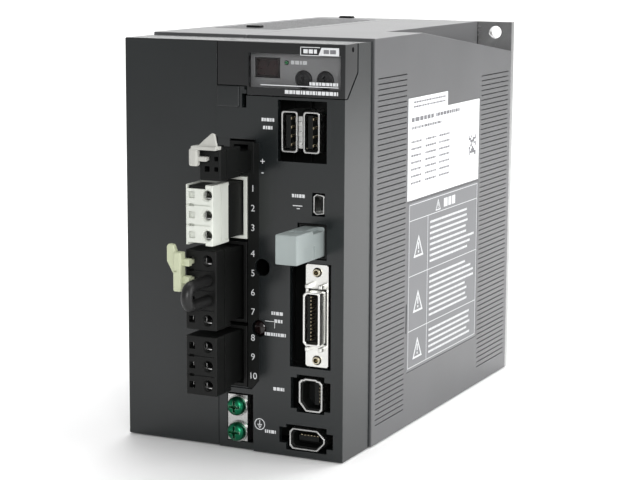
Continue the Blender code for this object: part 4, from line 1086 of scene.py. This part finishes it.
# %% External scale and encoder sockets
SCALE = [(27.6, 20.6), (30.4, 17.5), (35.9, 17.5), (36.9, 18.5), (36.9, 28.0), (35.9, 29.1),
         (34.9, 29.1), (34.4, 29.6), (30.0, 29.6), (29.4, 29.1), (28.6, 29.1), (27.6, 28.1)]
ENCODER = [(23.8, 4.2), (25.0, 3.0), (34.9, 3.0), (37.9, 6.2),
           (37.9, 7.9), (34.9, 10.8), (25.0, 10.8), (23.8, 9.4)]
for name, outline, contacts, step in (
    ("scale", SCALE, ((34.4, 34.75), (20.6, 21.2)), (0, 0, 1.25)),
    ("encoder", ENCODER, ((27.3, 27.9), (7.75, 8.1)), (1.25, 0, 0)),
):
    low, high = span_of(f"{name}_socket")
    shell = shell_of(outline, 0.6, (low.y - 0.3, high.y), high.y - 1.5, 0.2)
    fit(shell, f"{name}_socket_shell", STEEL, replaces=[f"{name}_socket"])
    lining = shell_of(inset(outline, 0.65), 0.45, (0.3, 10.8), 6.0, 0.1)
    fit(lining, f"{name}_socket_lining", CONNECTOR_BLACK)
    reworked(f"{name}_socket_insert", f"{name}_socket_tongue", CONNECTOR_BLACK, 0.15)
    strip = soft_block(contacts[0], (2.1, 9.0), contacts[1], 0.05, 1)
    fit(stamped(strip, [tuple(v * i for v in step) for i in range(6)]), f"{name}_socket_contacts", GOLD)

# %% [markdown]
# ## Earth terminal and charge lamp
# The earth screws are green with a cross recess. The head is turned, the recess is cut with
# two blades and a small cone, and a washer sits under it.

# %% Earth plate, washers and screws
reworked("earth_plate", "earth_plate_steel", STEEL, 0.25, segments=3)
washers = []
for name in ("upper", "lower"):
    low, high = span_of("earth_screw_" + name)
    x, z = seen_centre(low, high)
    profile = [(-3.0, 1.4), (-2.85, 2.2), (-2.4, 2.95), (-1.7, 3.35), (-0.9, 3.5), (-0.35, 3.5), (-0.25, 3.3)]
    screw = turned("y", (x, z), profile + [(-0.25, 2.0), (high.y, 2.0)], 48)
    for wide, tall in ((2.2, 0.42), (0.42, 2.2)):
        cut(screw, block((x - wide, x + wide), (-4.2, -1.5), (z - tall, z + tall)))
    cut(screw, rod("y", (x, z), 1.1, (-4.0, -1.2), 24, 0.5))
    fit(screw, f"earth_screw_{name}_head", GREEN_SCREW, f"earth_screw_{name}", [f"earth_screw_{name}"])
    washer = turned("y", (x, z), [(-0.2, 2.4), (-0.2, 3.75), (0.0, 3.9), (0.35, 3.9), (0.35, 2.4)], 48)
    cut(washer, rod("y", (x, z), 2.1, (-1, 1), 32))
    washers.append(washer)
fit(joined(*washers), "earth_washers", STEEL)

# %% Charge lamp
low, high = span_of("charge_lamp")
dome = [(low.y - 0.5, 0.4), (low.y - 0.42, 1.2), (low.y - 0.15, 2.0), (low.y + 0.3, 2.6), (low.y + 0.9, 2.85),
        (high.y, 2.85)]
fit(turned("y", seen_centre(low, high), dome, 40), "charge_lamp_lens", LAMP_RED, replaces=["charge_lamp"])

# %% [markdown]
# ## Printing and labels
# Lettering on the real front tells which terminal is which. A reusable part keeps only plain
# marks: short bars, thin lines, numerals and plain signs. They are raised by a few
# hundredths of a millimetre, like thick ink, and joined into one piece per surface.

# %% Marks
INK = 0.02
LETTER_GAP = 0.45


def bars_at(axis, level, thickness, rects):
    """Flat printed bars, each given as two spans in the two other axes."""
    pattern = block((-0.5, 0.5), (-0.5, 0.5), (-0.5, 0.5))
    pattern.data.transform(Matrix.Translation(-at(0, 0, 0)))
    moves = []
    for (u0, u1), (v0, v1) in rects:
        u, v, du, dv = (u0 + u1) / 2, (v0 + v1) / 2, u1 - u0, v1 - v0
        size = {"x": (thickness, du, dv), "y": (du, thickness, dv)}[axis]
        centre = {"x": at(level, u, v), "y": at(u, level, v)}[axis]
        moves.append(Matrix.Translation(centre) @ Matrix.Diagonal((*size, 1.0)))
    return stamped(pattern, moves)


def word_bars(draw, u, v, height, letters=1.0):
    """A plain row of small bars, as a stand-in for a line of words."""
    rects = []
    start = u[0]
    while start < u[1] - 0.3:
        width = min(letters * draw.uniform(0.7, 2.6), u[1] - start)
        rects.append(((start, start + width), (v, v + height)))
        start += width + letters * LETTER_GAP
    return rects


def numeral(text, x, level, z, size):
    """A printed numeral on the front, as a thin mesh."""
    bpy.ops.object.select_all(action="DESELECT")
    bpy.ops.object.text_add(location=(0, 0, 0))
    letter = bpy.context.object
    letter.data.body = text
    letter.data.size = size * MM
    letter.data.extrude = INK * MM
    letter.data.align_x = "CENTER"
    letter.data.align_y = "CENTER"
    bpy.ops.object.convert(target="MESH")
    letter = bpy.context.object
    letter.rotation_euler = (math.radians(90), 0, 0)
    letter.location = at(x, level, z)
    return settle()


# %% Terminal numerals and control power signs
STRIP_FACE = 0.32
TERMINAL_ROWS = [top - WAY_PITCH * i for top, ways in ((96.6, 3), (73.0, 4), (42.1, 3)) for i in range(ways)]
marks = [numeral(str(i + 1), 8.5, STRIP_FACE, z, 3.4) for i, z in enumerate(TERMINAL_ROWS)]
fit(joined(*marks), "terminal_numerals", PRINT)
signs = [numeral(sign, 12.6, 0.0, z, 3.6) for sign, z in (("+", 106.6), ("-", 102.9))]
fit(joined(*signs), "control_power_signs", PRINT)

# %% Socket names and the line to the lamp
BAR_HEIGHT = 1.2
SMALL = 0.62
NAMES = [
    ((12.2, 17.2), 121.1), ((12.8, 17.0), 118.3), ((24.3, 29.3), 94.7), ((16.2, 20.8), 51.5),
    ((17.4, 20.6), 48.7), ((13.5, 22.0), 43.7), ((17.0, 21.4), 23.7), ((13.6, 18.0), 7.5),
]
LAMP_LINE = [((13.6, 17.6), (48.9, 49.1)), ((17.4, 17.6), (46.6, 49.1))]
MINI_SIGN = [((24.6, 28.4), (91.6, 91.9)), ((26.2, 27.4), (90.6, 90.9))]
draw = random.Random(7)
front_rects = []
for x, z in NAMES:
    front_rects += word_bars(draw, x, z, BAR_HEIGHT, SMALL)
fit(bars_at("y", -0.01, 0.06, front_rects + LAMP_LINE + MINI_SIGN), "front_printing", PRINT)

# %% Earth sign
EARTH = (11.45, 10.4)
EARTH_BARS = [((11.3, 11.6), (10.4, 11.9)), ((10.5, 12.4), (10.1, 10.4)),
              ((10.85, 12.05), (9.5, 9.8)), ((11.15, 11.75), (8.95, 9.2))]
earth = bars_at("y", 0.0, 0.06, EARTH_BARS)
ring = rod("y", EARTH, 2.15, (-0.03, 0.03), 40)
cut(ring, rod("y", EARTH, 1.85, (-1, 1), 40))
fit(joined(earth, ring), "earth_sign", PRINT)

# %% Display cover printing
TAG_LEFT, TAG_RIGHT = 27.4, 42.3
TAG_Z = (144.9, 147.7)
cover_rects = [((11.8, 42.2), (133.85, 134.15))]
cover_rects += word_bars(draw, (31.0, 42.0), 134.5, 1.1, SMALL)
cover_rects += word_bars(draw, (21.4, 42.0), 131.2, 1.3, SMALL)
cover_rects += [((TAG_LEFT, 35.0), (z - 0.12, z + 0.12)) for z in TAG_Z]
cover_rects += [((TAG_LEFT, TAG_LEFT + 0.25), TAG_Z)]
cover_rects += word_bars(draw, (28.6, 33.8), 145.6, 1.4, 0.9)
field_outline = [(34.4, TAG_Z[0]), (TAG_RIGHT, TAG_Z[0]), (TAG_RIGHT, TAG_Z[1]), (35.6, TAG_Z[1])]
field = plate("y", field_outline, (-0.035, 0.015))
fit(joined(bars_at("y", -0.01, 0.05, cover_rects), field), "display_cover_printing", PRINT, "display_cover")
dark_rects = word_bars(draw, (36.4, 41.2), 145.6, 1.4, 0.9)
fit(bars_at("y", -0.04, 0.04, dark_rects), "display_cover_dark_printing", DARK_PRINT, "display_cover")
panel_rects = word_bars(draw, (22.0, 28.6), 141.3, 1.3, 0.8)
fit(bars_at("y", 3.59, 0.05, panel_rects), "operator_panel_printing", PRINT)

# %% Marking strip beside the terminals
strip_outline = [(6.5, 23.3), (8.1, 23.3), (11.1, 26.8), (11.1, 113.0), (6.5, 113.0)]
strip = soften(plate("y", strip_outline, (0.35, 0.85)), 0.08)
for centre, radius in (((12.3, 68.4), 3.35), ((11.0, 45.9), 3.2)):
    cut(strip, rod("y", centre, radius, (-1, 2), 48))
fit(strip, "marking_strip", CONNECTOR_BLACK)

# %% Rating label
LABEL_X = (CASE_HALF - 0.26, CASE_HALF - 0.02)


def label(pocket, middle_z):
    """A label that leaves a narrow gap all round its pocket."""
    edge = [(y + (0.25 if y < 90 else -0.25), z + (0.25 if z < middle_z else -0.25)) for y, z in pocket]
    return plate("x", edge, LABEL_X)


fit(label(RATING, 100), "rating_label_paper", LABEL_WHITE, replaces=["rating_label"])
lines = []
for z in (122.3, 124.0):
    lines += word_bars(draw, (60, 92), z, 0.7, 0.9)
lines += word_bars(draw, (58, 80), 117.0, 1.6, 1.6) + word_bars(draw, (82, 108), 117.2, 1.3, 1.2)
lines += word_bars(draw, (58, 88), 114.2, 1.0, 1.0)
for i in range(7):
    z = 109.0 - i * 2.6
    lines += word_bars(draw, (58, 68), z, 0.8, 0.8) + word_bars(draw, (72, 83), z, 0.8, 0.8)
    lines += word_bars(draw, (86, 97), z, 0.8, 0.8)
lines += [((57.5, 128), (90.6, 90.75)), ((57.5, 128), (112.4, 112.55))]
for i in range(9):
    for j in range(9):
        if draw.random() < 0.5:
            lines.append(((118 + i * 0.9, 118.9 + i * 0.9), (98 + j * 0.9, 98.9 + j * 0.9)))
fit(bars_at("x", CASE_HALF - 0.01, 0.04, lines), "rating_label_printing", DARK_PRINT)

# %% Warning label
fit(label(WARNING, 50), "warning_label_paper", LABEL_GREY, replaces=["warning_label"])
frame_rects = [((57, 128.6), (z, z + 0.25)) for z in (22.2, 36.6, 57.9, 79.3, 85.4)]
frame_rects += [((y, y + 0.25), (22.2, 85.6)) for y in (57, 128.4)] + [((75.5, 75.75), (22.2, 79.3))]
for top, bottom in ((78.0, 59.6), (56.6, 38.4), (35.2, 23.6)):
    z = top - 2.0
    while z > bottom:
        frame_rects += word_bars(draw, (78, 78 + draw.uniform(38, 48)), z, 0.9, 0.6)
        z -= 2.2
frame_rects += word_bars(draw, (92, 104), 80.6, 3.4, 2.0)
signs = [bars_at("x", CASE_HALF - 0.01, 0.05, frame_rects)]


def warning_sign(y, z, size):
    """A triangle with a bar and a dot, in outline."""
    outer = [(y - size, z - size * 0.8), (y + size, z - size * 0.8), (y, z + size * 0.95)]
    inner = [(y + (v - y) * 0.72, z - 0.06 * size + (w - z) * 0.72) for v, w in outer]
    sign = plate("x", outer, (CASE_HALF - 0.035, CASE_HALF + 0.015))
    cut(sign, plate("x", inner, (CASE_HALF - 1, CASE_HALF + 1)))
    return joined(sign, bars_at("x", CASE_HALF - 0.01, 0.05, [
        ((y - 0.09 * size, y + 0.09 * size), (z - 0.2 * size, z + 0.35 * size)),
        ((y - 0.09 * size, y + 0.09 * size), (z - 0.5 * size, z - 0.32 * size))]))


for y, z, size in ((66.5, 68.6, 4.8), (66.5, 47.2, 4.8), (66.5, 28.8, 4.6), (86, 82.2, 2.6)):
    signs.append(warning_sign(y, z, size))
fit(joined(*signs), "warning_label_printing", PRINT)

# %% [markdown]
# ## Inside
# Through the louvres and the fan opening one sees boards, capacitors and the fan. Their
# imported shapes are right, so they get rounded edges and their finishes.

# %% Boards, capacitors and fan
for node, finish, width in (
    ("control_board", BOARD, 0.1), ("power_board", BOARD, 0.1), ("power_module", MODULE, 0.3),
    ("transformer", MODULE, 0.4), ("capacitor_lower", SLEEVE, 0.15), ("capacitor_upper", SLEEVE, 0.15),
    ("fan_frame", FAN, 0.25),
):
    reworked(node, node + "_finished", finish, width)
reworked("fan_rotor", "fan_rotor_finished", FAN, 0.12, "fan_rotor")

# %% [markdown]
# ## Size
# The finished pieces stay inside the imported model's box, apart from the two clips on top and
# the ink on the labels, which stands a few hundredths of a millimetre proud.

# %% Sizes
low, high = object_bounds()
sizes = {"cad": [list(CAD_BOX[0]), list(CAD_BOX[1])], "visual": [list(low), list(high)]}
print("visual box", [round(v, 4) for v in (*low, *high)])
